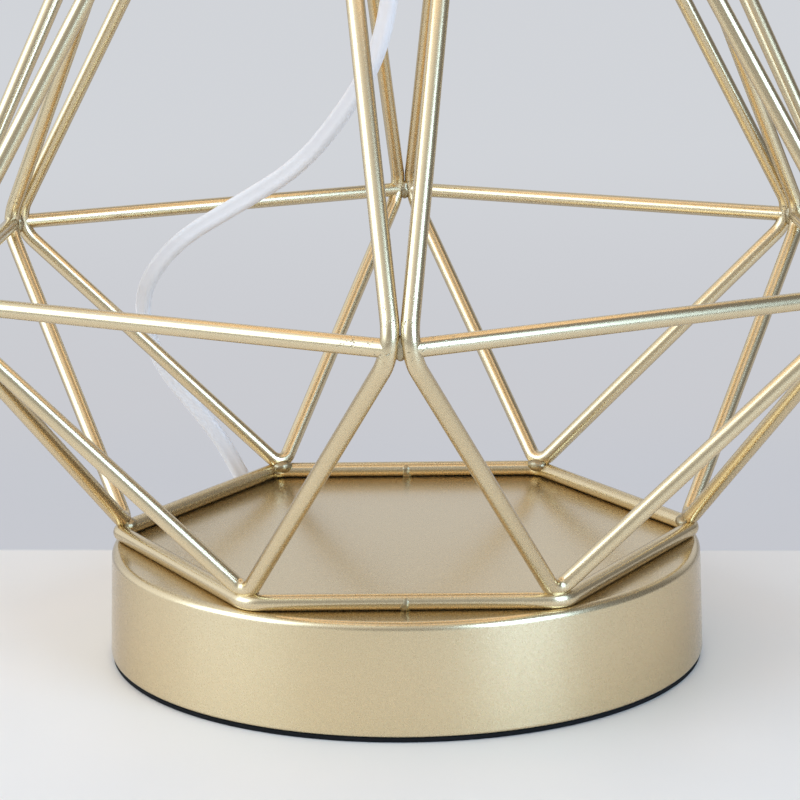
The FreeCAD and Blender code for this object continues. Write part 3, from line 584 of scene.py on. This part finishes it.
class BaseSettings(bpy.types.PropertyGroup):
    """Round base."""
    diameter: FloatProperty(name="Diameter", description="Outside of the base", default=0.150, unit="LENGTH")
    height: FloatProperty(name="Height", description="Top of the base above the table", default=0.028,
                          unit="LENGTH")
    wall: FloatProperty(name="Wall", description="Sheet thickness of the cover", default=0.0012,
                        unit="LENGTH")
    edge: FloatProperty(name="Top edge", description="Rounding of the top edge", default=0.002, unit="LENGTH")
    lip: FloatProperty(name="Lower edge", description="Rounding of the lower edge", default=0.0009,
                       unit="LENGTH")
    draft: FloatProperty(name="Draft", description="How far the wall leans in from bottom to top",
                         default=0.0009, unit="LENGTH", precision=5)
    pad: FloatProperty(name="Pad", description="Thickness of the pad", default=0.0011, unit="LENGTH")
    pad_inset: FloatProperty(name="Pad inset", description="Pad's edge inside the cover's", default=0.0004,
                             unit="LENGTH")


class CageSettings(bpy.types.PropertyGroup):
    """Wire cage. Corner places are those of the kite that faces the front before the cage is turned."""
    wire: FloatProperty(name="Wire", description="Diameter of the wire", default=0.004, unit="LENGTH")
    sides: IntProperty(name="Sides", description="Number of kites round the cage", default=6, min=3)
    turn: FloatProperty(name="Turn", description="Turn of the cage about the upright axis",
                        default=math.radians(30.0), unit="ROTATION", subtype="ANGLE")
    foot: FloatVectorProperty(name="Foot corner", description="Where the lower runs would meet",
                              default=(-0.0011, -0.0706, 0.0310873), unit="LENGTH", subtype="XYZ")
    right: FloatVectorProperty(name="Side corner", description="Where the side runs would meet, on the right",
                               default=(0.0602142, -0.1072635, 0.100), unit="LENGTH", subtype="XYZ")
    top: FloatVectorProperty(name="Top corner", description="Where the upper runs would meet",
                             default=(0.0, -0.038, 0.260), unit="LENGTH", subtype="XYZ")
    foot_bend: FloatProperty(name="Foot bend", description="Bend radius at the foot", default=0.0034,
                             unit="LENGTH")
    top_bend: FloatProperty(name="Top bend", description="Bend radius at the top", default=0.0045,
                            unit="LENGTH")
    side_bend: FloatProperty(name="Side bend", description="Bend radius at the sides", default=0.009,
                             unit="LENGTH")
    bar_end: FloatVectorProperty(name="Bar end", description="Right end of the bar across a kite",
                                 default=(0.0581287, -0.1058396, 0.1003208), unit="LENGTH", subtype="XYZ")
    ring_radius: FloatProperty(name="Ring radius", description="Radius over the foot ring's corners",
                               default=0.073, unit="LENGTH")
    ring_bend: FloatProperty(name="Ring bend", description="Bend radius of the foot ring", default=0.006,
                             unit="LENGTH")
    ring_height: FloatProperty(name="Ring height", description="Middle of the ring's wire above the table",
                               default=0.030, unit="LENGTH")


class ShadeSettings(bpy.types.PropertyGroup):
    """Shade of cloth on a stiff backing."""
    bottom: FloatProperty(name="Bottom", description="Diameter below", default=0.300, unit="LENGTH")
    top: FloatProperty(name="Top", description="Diameter above", default=0.250, unit="LENGTH")
    low: FloatProperty(name="Low", description="Lower edge above the table", default=0.2625393, unit="LENGTH")
    height: FloatProperty(name="Height", description="Upright height", default=0.190, unit="LENGTH")
    skin: FloatProperty(name="Skin", description="Thickness of cloth and backing", default=0.0009,
                        unit="LENGTH")
    hem: FloatProperty(name="Hem", description="Width of the turned edge", default=0.009, unit="LENGTH")
    fold: FloatProperty(name="Fold", description="How far a turned edge stands proud", default=0.0004,
                        unit="LENGTH", precision=5)
    seam: FloatProperty(name="Seam", description="Width of the lapped seam at the back", default=0.011,
                        unit="LENGTH")
    glow: FloatVectorProperty(name="Glow", description="Light of the lit bulb on the inner side",
                              default=(1.05, 0.78, 0.52), subtype="COLOR", min=0.0, max=4.0)
    thread: FloatProperty(name="Thread", description="Spacing of the threads", default=0.0007, unit="LENGTH",
                          precision=5)


class FlexSettings(bpy.types.PropertyGroup):
    """Flat twin flex."""
    wide: FloatProperty(name="Width", description="Wide side of the flex", default=0.0046, unit="LENGTH")
    thick: FloatProperty(name="Thickness", description="Narrow side of the flex", default=0.0030,
                         unit="LENGTH")
    groove: FloatProperty(name="Groove", description="Depth of the groove between the two cores",
                          default=0.0003, unit="LENGTH", precision=5)
    length: FloatProperty(name="Length", description="Free length from the grip to the plug", default=1.656,
                          unit="LENGTH")
    per_turn: IntProperty(name="Points per turn", description="Control points in a turn of the coil",
                          default=16, min=12)


class StageSettings(bpy.types.PropertyGroup):
    """Floor, backdrop, light and camera."""
    skew: FloatProperty(name="Skew", description="Slant of the table's far edge", default=0.036)
    edge: FloatProperty(name="Edge", description="Where the pale table ends, behind the lamp's axis",
                        default=0.0868, unit="LENGTH")
    table: FloatVectorProperty(name="Table", description="Colour of the table", default=(0.905, 0.83, 0.75),
                               subtype="COLOR", min=0.0, max=1.0)
    wall_low: FloatVectorProperty(name="Wall low", description="Backdrop near the table",
                                  default=(0.585, 0.592, 0.628), subtype="COLOR", min=0.0, max=1.0)
    wall_high: FloatVectorProperty(name="Wall high", description="Backdrop higher up",
                                   default=(0.642, 0.660, 0.694), subtype="COLOR", min=0.0, max=1.0)
    key: FloatProperty(name="Key", description="Power of the soft light on the left", default=14.2,
                       unit="POWER")
    fill: FloatProperty(name="Fill", description="Power of the soft light on the right", default=13.6,
                        unit="POWER")
    room: FloatProperty(name="Room", description="Strength of the light from all round", default=1.16,
                        min=0.0)
    lens: FloatProperty(name="Lens", description="Focal length", default=114.49, unit="CAMERA")


class LAMP_OT_base(bpy.types.Operator):
    """Painted base cover, the weight in it and the pad under it"""
    bl_idname = "lamp.base"
    bl_label = "Base"

    def execute(self, context):
        base = context.scene.lamp_base
        radius = base.diameter / 2
        inside = radius - base.wall
        ceiling = base.height - base.wall
        top = radius - base.draft
        outline = [(0.0, ceiling), (top - base.wall, ceiling), (inside, base.pad)]
        outline += arc((radius - base.lip, base.pad + base.lip), base.lip, -90.0, 0.0)
        outline += arc((top - base.edge, base.height - base.edge), base.edge, 0.0, 90.0, 16)
        outline.append((0.0, base.height))
        placed(turned("base_shell", outline), "champagne_metal", "lamp", ["base_cover"])
        pad = radius - base.pad_inset
        soft = base.pad * 0.25
        outline = [(0.0, 0.0)] + arc((pad - soft, soft), soft, -90.0, 0.0, 5)
        outline += arc((pad - soft, base.pad - soft), soft, 0.0, 90.0, 5) + [(0.0, base.pad)]
        placed(turned("base_foam", outline), "pad_black", "lamp", ["base_pad"])
        dress("ballast")
        return {"FINISHED"}


class LAMP_OT_kites(bpy.types.Operator):
    """Six kites of bent wire"""
    bl_idname = "lamp.kites"
    bl_label = "Wire kites"

    def execute(self, context):
        cage = context.scene.lamp_cage
        right = Vector(cage.right)
        values = {"Foot": Vector(cage.foot), "Right": right, "Top": Vector(cage.top),
                  "Left": Vector((-right.x, right.y, right.z)), "Side bend": cage.side_bend,
                  "Foot bend": cage.foot_bend, "Top bend": cage.top_bend, "Wire": cage.wire,
                  "Count": cage.sides, "Turn": cage.turn}
        kites = grow("wire_kites", kite_tree, values, "champagne_metal")
        placed(kites, "champagne_metal", "lamp", ["kite_frame_%d" % (i + 1) for i in range(cage.sides)])
        return {"FINISHED"}


class LAMP_OT_foot_ring(bpy.types.Operator):
    """Six-sided ring on the base"""
    bl_idname = "lamp.foot_ring"
    bl_label = "Foot ring"

    def execute(self, context):
        cage = context.scene.lamp_cage
        values = {"Count": cage.sides, "Radius": cage.ring_radius, "Bend": cage.ring_bend, "Wire": cage.wire,
                  "Height": cage.ring_height}
        placed(grow("foot_ring_wire", ring_tree, values, "champagne_metal"), "champagne_metal", "lamp",
               ["foot_ring"])
        return {"FINISHED"}


class LAMP_OT_girdle_bars(bpy.types.Operator):
    """Six straight bars round the girdle"""
    bl_idname = "lamp.girdle_bars"
    bl_label = "Girdle bars"

    def execute(self, context):
        cage = context.scene.lamp_cage
        right = Vector(cage.bar_end)
        values = {"Right": right, "Left": Vector((-right.x, right.y, right.z)), "Wire": cage.wire,
                  "Count": cage.sides, "Turn": cage.turn}
        bars = grow("girdle_bars", bar_tree, values, "champagne_metal")
        placed(bars, "champagne_metal", "lamp", ["girdle_bar_%d" % (i + 1) for i in range(cage.sides)])
        return {"FINISHED"}


class LAMP_OT_welds(bpy.types.Operator):
    """Weld beads where the wires meet"""
    bl_idname = "lamp.welds"
    bl_label = "Weld beads"

    def execute(self, context):
        cage = context.scene.lamp_cage
        each = {"count": cage.sides, "turn": cage.turn}
        side_middle = cage.ring_radius * math.cos(math.pi / cage.sides)
        beads("girdle_welds", radius=0.0014, lumps=0.0007, stretch=(1.0, 1.0, 1.9),
              place=(0.0601965, -0.1042635, 0.1003), **each)
        beads("foot_welds", radius=0.0022, lumps=0.0006, stretch=(1.25, 1.0, 0.8),
              place=(-0.0011, -0.0703, 0.0315), **each)
        beads("top_welds", radius=0.0024, lumps=0.0005, stretch=(1.1, 1.0, 1.0),
              place=(0.0, -0.0416886, 0.2534793), **each)
        beads("ring_welds", radius=0.0022, lumps=0.0009, stretch=(0.9, 1.0, 1.0),
              place=(0.0, -side_middle, cage.ring_height - 0.0003), count=2, turn=0.0)
        return {"FINISHED"}


class LAMP_OT_top_fittings(bpy.types.Operator):
    """Top plate, washer, nut, threaded tube and cord grip"""
    bl_idname = "lamp.top_fittings"
    bl_label = "Top fittings"

    def execute(self, context):
        dress("top_plate", "plate_washer", "lock_nut", "threaded_tube", "cord_grip")
        _, tube_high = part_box("threaded_tube")
        nut_low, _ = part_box("lock_nut")
        _, grip_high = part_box("cord_grip")
        thread("tube_thread", "zinc_steel", radius=tube_high.x, low=grip_high.z, high=nut_low.z + 0.0002,
               pitch=0.001, ridge=0.0004)
        return {"FINISHED"}


class LAMP_OT_lampholder(bpy.types.Operator):
    """Lampholder with its insert, contacts and two shade rings"""
    bl_idname = "lamp.lampholder"
    bl_label = "Lampholder"

    def execute(self, context):
        dress("holder_cap", "holder_body", "holder_insert", "screw_shell", "centre_contact",
              "shade_ring_lower", "shade_ring_upper")
        _, body_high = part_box("holder_body")
        _, cap_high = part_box("holder_cap")
        thread("holder_thread", "white_plastic", radius=body_high.x, low=cap_high.z + 0.004,
               high=body_high.z - 0.001, pitch=0.0025, ridge=0.0007)
        return {"FINISHED"}


class LAMP_OT_push_bar(bpy.types.Operator):
    """Push bar of the switch"""
    bl_idname = "lamp.push_bar"
    bl_label = "Push bar"

    def execute(self, context):
        dress("push_bar")
        return {"FINISHED"}


class LAMP_OT_bulb(bpy.types.Operator):
    """Opal bulb with its screw cap"""
    bl_idname = "lamp.bulb"
    bl_label = "Bulb"

    def execute(self, context):
        dress("bulb_cap", "bulb_glass")
        low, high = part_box("bulb_cap")
        thread("bulb_thread", "cap_aluminium", radius=high.x - 0.0003, low=low.z + 0.0055,
               high=high.z - 0.003, pitch=0.0036, ridge=0.0018)
        return {"FINISHED"}


class LAMP_OT_shade_skin(bpy.types.Operator):
    """Cloth of the shade, with turned edges and a lapped seam at the back"""
    bl_idname = "lamp.shade_skin"
    bl_label = "Shade cloth"

    def execute(self, context):
        look = context.scene.lamp_shade
        slant = math.hypot(look.height, (look.bottom - look.top) / 2)
        hem = look.hem / slant
        inner = [0.05 + 0.90 * i / CLOTH_ROWS for i in range(CLOTH_ROWS + 1)]
        shares = [0.0, EDGE_STEP, hem, hem + HEM_STEP]
        shares += [s for s in inner if hem + 0.01 < s < 0.99 - hem]
        shares += [1 - hem - HEM_STEP, 1 - hem, 1 - EDGE_STEP, 1.0]
        verts = []
        cloth = []
        for inside in (False, True):
            for share in shares:
                folded = (share <= hem or share >= 1 - hem) and 0.0 < share < 1.0
                middle = (look.bottom + (look.top - look.bottom) * share) / 2
                level = look.low + look.height * share
                for i in range(CLOTH_COLUMNS):
                    angle = FULL_TURN * i / CLOTH_COLUMNS
                    behind = abs((angle - math.pi / 2 + math.pi) % FULL_TURN - math.pi)
                    lapped = behind * middle < look.seam / 2
                    radius = middle - look.skin if inside else middle + look.fold * (folded + lapped)
                    verts.append((radius * math.cos(angle), radius * math.sin(angle), level))
                    cloth.append((angle * (look.bottom + look.top) / 4, share * slant))
        outer = len(verts) // 2
        last = outer - CLOTH_COLUMNS
        faces = []
        for a in range(0, last, CLOTH_COLUMNS):
            b = a + CLOTH_COLUMNS
            for i in range(CLOTH_COLUMNS):
                j = (i + 1) % CLOTH_COLUMNS
                faces.append((a + i, a + j, b + j, b + i))
                faces.append((outer + a + j, outer + a + i, outer + b + i, outer + b + j))
        for i in range(CLOTH_COLUMNS):
            j = (i + 1) % CLOTH_COLUMNS
            faces.append((outer + i, outer + j, j, i))
            faces.append((last + i, last + j, outer + last + j, outer + last + i))
        mesh = bpy.data.meshes.new("shade_cloth")
        mesh.from_pydata(verts, [], faces)
        layer = mesh.uv_layers.new(name=CLOTH_MAP)
        wrap = math.pi * (look.bottom + look.top) / 2
        for face in mesh.polygons:
            face.use_smooth = True
            places = [cloth[mesh.loops[i].vertex_index] for i in face.loop_indices]
            crosses = max(p[0] for p in places) - min(p[0] for p in places) > wrap / 2
            for i, (u, v) in zip(face.loop_indices, places):
                layer.data[i].uv = (u + wrap if crosses and u < wrap / 2 else u, v)
        mesh.set_sharp_from_angle(angle=CLOTH_CREASE)
        mesh.materials.append(finish("shade_fabric"))
        mesh.materials.append(finish("shade_lining"))
        for face in mesh.polygons:
            face.material_index = int(min(face.vertices) >= outer)
        skin = placed(shown("shade_cloth", mesh), "shade_fabric", "shade", ["shade_skin"])
        return {"FINISHED"}


class LAMP_OT_shade_wires(bpy.types.Operator):
    """Coated wire rings, arms and fitter of the shade"""
    bl_idname = "lamp.shade_wires"
    bl_label = "Shade wires"

    def execute(self, context):
        dress("shade_top_ring", "shade_frame")
        return {"FINISHED"}


class LAMP_OT_plug(bpy.types.Operator):
    """Moulded plug, its pins and the tie round the coil"""
    bl_idname = "lamp.plug"
    bl_label = "Plug and tie"

    def execute(self, context):
        dress("plug_body", "plug_pins", "coil_tie")
        return {"FINISHED"}


# Flex, in millimetres: from the grip down inside the cage, out between two legs and behind the base
DROP_WAY = [(0, 0, 219.54), (0.4, -0.3, 198.53), (-1, 0.2, 173.62), (-4.5, 2.5, 151.01), (-13, 11, 136.07),
            (-26, 27, 119.01), (-44, 46, 106.56), (-63, 62, 94.01), (-74.5, 72.5, 77.05),
            (-69.5, 78.5, 56.93), (-55, 80.5, 39.11), (-47.5, 80.4, 25.48), (-42.5, 79.9, 14.0),
            (-36.16, 80.06, 7.25), (-24.34, 82.15, 7.25)]
# Roll of the flat flex at those places, in degrees: broad side to the front lower down
DROP_ROLL = [90, 90, 90, 90, 90, 90, 90, 90, 85, 70, 45, 20, 0, 0, 0]
TAIL_WAY = [(-15.22, 76.52, 2.65), (-8.82, 77.65, 2.65), (1.50, 80.11, 7.0), (8, 80, 7.0)]
COIL_CENTRE = (-26.0, 114.6)
COIL_START = -80.0  # degrees, from the right
COIL_PITCH = 4.75
COIL_INNER = 18.0
COIL_DIP = 0.7  # the innermost turn goes this much nearer to the middle
HALF_TURNS_IN = 6
HALF_TURNS_OUT = 9
LAYERS = (7.25, 2.70)  # heights of the upper and the lower layer
SECTION_POINTS = 32
SECTION_POWER = 0.75  # below 1 the flex's section is fuller than an ellipse
GROOVE_SHARE = 0.16  # half width of the groove as a share of the flex's width


def coil_way(per_turn):
    """Turns in through the upper layer, down, and out through the lower one."""
    half_turns = HALF_TURNS_IN + HALF_TURNS_OUT + 1
    nodes = []
    for i in range(half_turns + 1):
        steps = HALF_TURNS_IN - i if i <= HALF_TURNS_IN else i - HALF_TURNS_IN - 1
        nodes.append((COIL_INNER + COIL_PITCH / 2 * steps - (COIL_DIP if steps == 0 else 0.0),
                      LAYERS[0] if i <= HALF_TURNS_IN else LAYERS[1]))
    nodes.append(nodes[-1])
    widen = 1 / math.cos(math.pi / per_turn)
    way = []
    for k in range(half_turns * per_turn // 2 + 1):
        at = 2.0 * k / per_turn
        i = int(at)
        share = at - i
        smooth = share * share * (3 - 2 * share)
        radius = (nodes[i][0] + (nodes[i + 1][0] - nodes[i][0]) * share) * widen
        z = nodes[i][1] + (nodes[i + 1][1] - nodes[i][1]) * smooth
        angle = math.radians(COIL_START) + math.pi * at
        way.append((COIL_CENTRE[0] + radius * math.cos(angle), COIL_CENTRE[1] + radius * math.sin(angle), z))
    return way


class LAMP_OT_flex(bpy.types.Operator):
    """Flat twin flex from the grip to the plug, its spare length coiled behind the base"""
    bl_idname = "lamp.flex"
    bl_label = "Flex"

    def execute(self, context):
        look = context.scene.lamp_flex
        section = bpy.data.curves.new("flex_section", "CURVE")
        section.dimensions = "2D"
        outline = section.splines.new("POLY")
        outline.points.add(SECTION_POINTS - 1)
        for i, point in enumerate(outline.points):
            angle = FULL_TURN * i / SECTION_POINTS
            across = math.copysign(abs(math.cos(angle)) ** SECTION_POWER, math.cos(angle)) * look.wide / 2
            up = math.copysign(abs(math.sin(angle)) ** SECTION_POWER, math.sin(angle)) * look.thick / 2
            dip = look.groove * math.exp(-(across / (GROOVE_SHARE * look.wide)) ** 2)
            point.co = (across, up - math.copysign(dip, up) if abs(up) > dip else up, 0.0, 1.0)
        outline.use_cyclic_u = True
        shape = shown("flex_section", section)
        shape.hide_render = True

        way = DROP_WAY + coil_way(look.per_turn) + TAIL_WAY
        curve = bpy.data.curves.new("flex", "CURVE")
        curve.dimensions = "3D"
        spline = curve.splines.new("NURBS")
        spline.points.add(len(way) - 1)
        for point, place in zip(spline.points, way):
            point.co = (place[0] * MM, place[1] * MM, place[2] * MM, 1.0)
        for point, roll in zip(spline.points, DROP_ROLL):
            point.tilt = math.radians(roll)
        spline.order_u = 3
        spline.use_endpoint_u = True
        spline.resolution_u = 6
        curve.twist_mode = "MINIMUM"
        curve.bevel_mode = "OBJECT"
        curve.bevel_object = shape
        curve.use_fill_caps = True
        flex = placed(shown("flex", curve), "white_flex", "lamp", ["cord_drop", "cord_coil", "cord_tail"])
        return {"FINISHED"}


# Stage, in metres
FLOOR_REACH = 8.0
FLOOR_LEVEL = -0.0001
LIGHT_AIM = (0.0, 0.0, 0.08)
CAMERA_PLACE = (0.003777, -0.622289, 0.199368)
CAMERA_RIGHT = (0.99993, 0.00541, -0.01067)
CAMERA_UP = (0.00926, 0.21368, 0.97686)
CAMERA_BACK = (0.00776, -0.97693, 0.21342)
SENSOR = 36.0  # width in millimetres
TABLE_FADE = (0.3, 1.0)  # out from the axis, the table darkens, a painted falloff of light away from the lamp
WALL_RISE = (0.1, 1.1)  # back from the axis, the wall lightens
WALL_START = (0.16, 0.30)  # back from the axis, the last of the light on the wall's foot ends


def soft_light(name, azimuth, elevation, distance, size, power, tint):
    """Soft light that faces the lamp. Azimuth counts from the front towards the right."""
    data = bpy.data.lights.new(name, "AREA")
    data.shape = "RECTANGLE"
    data.size, data.size_y = size
    data.energy = power
    data.color = tint
    light = shown(name, data)
    a, e = math.radians(azimuth), math.radians(elevation)
    away = Vector((math.sin(a) * math.cos(e), -math.cos(a) * math.cos(e), math.sin(e)))
    light.location = Vector(LIGHT_AIM) + away * distance
    light.rotation_mode = "QUATERNION"
    light.rotation_quaternion = (-away).to_track_quat("-Z", "Y")
    light.visible_camera = False


def table_and_wall(look):
    """Pale table that ends behind the lamp, and beyond it a grey wall that shows its own colour."""
    material, graph, shader = finish_of("floor")
    x, y, _ = graph.parts(graph.object_place())
    beyond = (y + x * look.skew).ramp(look.edge - 0.0012, look.edge + 0.0022)
    grey = graph.mixed(y.ramp(*WALL_RISE), opaque(look.wall_low), opaque(look.wall_high))
    away = (x * x + y * y).call("SQRT").ramp(*TABLE_FADE)
    # Painted shade: the table's colour darkens away from the lamp
    table = graph.mixed(away, opaque(look.table), opaque(look.table, 0.3))
    shader["Base Color"] = graph.mixed(beyond, table, grey)
    shader["Roughness"] = 0.5 + 0.36 * away
    glow = graph.add("ShaderNodeEmission", {}, {"Color": grey})
    surface = shader.socket.links[0].to_socket
    share = beyond * (0.8 + 0.2 * y.ramp(*WALL_START))
    both = graph.add("ShaderNodeMixShader", {}, {0: share, 1: shader, 2: glow})
    graph.join(both, surface)
    return material


def room_light(strength):
    """Light from all round: bright on the left and behind, dark on the right and where the camera stands."""
    world = bpy.data.worlds.new("room")
    world.use_nodes = True
    graph = Graph(world.node_tree)
    x, y, z = graph.parts(graph.add("ShaderNodeTexCoord", out="Generated"))
    left = (x * -0.94 + y * -0.34).ramp(-0.7, 0.75)
    behind = z.ramp(0.0, 0.2) * y.ramp(0.45, 0.95) * 0.79
    front = (-y).ramp(0.55, 0.95) * z.ramp(-0.05, 0.12)
    bright = left.maths("MAXIMUM", left, behind) * (1.0 - 0.75 * front)
    tone = graph.mixed(bright, colour(0.17, 0.17, 0.175), colour(0.905, 0.947, 1.01))
    room = graph.add("ShaderNodeBackground", {}, {"Color": tone, "Strength": strength})
    graph.add("ShaderNodeOutputWorld", {}, {"Surface": room})
    return world


class LAMP_OT_stage(bpy.types.Operator):
    """Pale table, grey backdrop, soft light and the camera"""
    bl_idname = "lamp.stage"
    bl_label = "Stage"

    def execute(self, context):
        look = context.scene.lamp_stage
        mesh = bpy.data.meshes.new("floor")
        signs = [(-1, -1), (1, -1), (1, 1), (-1, 1)]
        corners = [(a * FLOOR_REACH, b * FLOOR_REACH, FLOOR_LEVEL) for a, b in signs]
        mesh.from_pydata(corners, [], [(0, 1, 2, 3)])
        floor = shown("floor", mesh)
        mesh.materials.append(table_and_wall(look))
        context.scene.world = room_light(look.room)
        soft_light("key_left", azimuth=-67.0, elevation=24.0, distance=1.8, size=(1.45, 1.2), power=look.key,
                   tint=(0.55, 0.76, 1.0))
        soft_light("fill_right", azimuth=44.0, elevation=19.0, distance=1.3, size=(0.72, 0.88),
                   power=look.fill, tint=(0.46, 0.69, 1.0))
        camera = shown("camera", bpy.data.cameras.new("camera"))
        camera.data.lens = look.lens
        camera.data.sensor_width = SENSOR
        camera.data.clip_start = 0.01
        turn = Matrix((CAMERA_RIGHT, CAMERA_UP, CAMERA_BACK)).transposed()
        camera.matrix_world = Matrix.Translation(CAMERA_PLACE) @ turn.to_4x4()
        context.scene.camera = camera
        context.scene.view_settings.view_transform = "Standard"
        return {"FINISHED"}


class LAMP_PT_panel(bpy.types.Panel):
    """Lists the steps"""
    bl_idname = "LAMP_PT_panel"
    bl_label = "Table lamp"
    bl_space_type = "VIEW_3D"
    bl_region_type = "UI"
    bl_category = "Lamp"

    def draw(self, context):
        for step in STEPS:
            self.layout.operator(step.bl_idname)


SETTINGS = {"lamp_finish": FinishSettings, "lamp_base": BaseSettings, "lamp_cage": CageSettings,
            "lamp_shade": ShadeSettings, "lamp_flex": FlexSettings, "lamp_stage": StageSettings}
STEPS = [LAMP_OT_stage, LAMP_OT_plug, LAMP_OT_flex, LAMP_OT_base, LAMP_OT_kites, LAMP_OT_foot_ring,
         LAMP_OT_girdle_bars, LAMP_OT_welds, LAMP_OT_top_fittings, LAMP_OT_lampholder, LAMP_OT_push_bar,
         LAMP_OT_bulb, LAMP_OT_shade_wires, LAMP_OT_shade_skin]


def register():
    for group in SETTINGS.values():
        bpy.utils.register_class(group)
    for name, group in SETTINGS.items():
        setattr(bpy.types.Scene, name, PointerProperty(type=group))
    for step in STEPS:
        bpy.utils.register_class(step)
    bpy.utils.register_class(LAMP_PT_panel)


def unregister():
    bpy.utils.unregister_class(LAMP_PT_panel)
    for step in reversed(STEPS):
        bpy.utils.unregister_class(step)
    for name in SETTINGS:
        delattr(bpy.types.Scene, name)
    for group in reversed(list(SETTINGS.values())):
        bpy.utils.unregister_class(group)


def main():
    register()
    for step in STEPS:
        group, name = step.bl_idname.split(".")
        getattr(getattr(bpy.ops, group), name)()


if __name__ == "__main__":
    main()
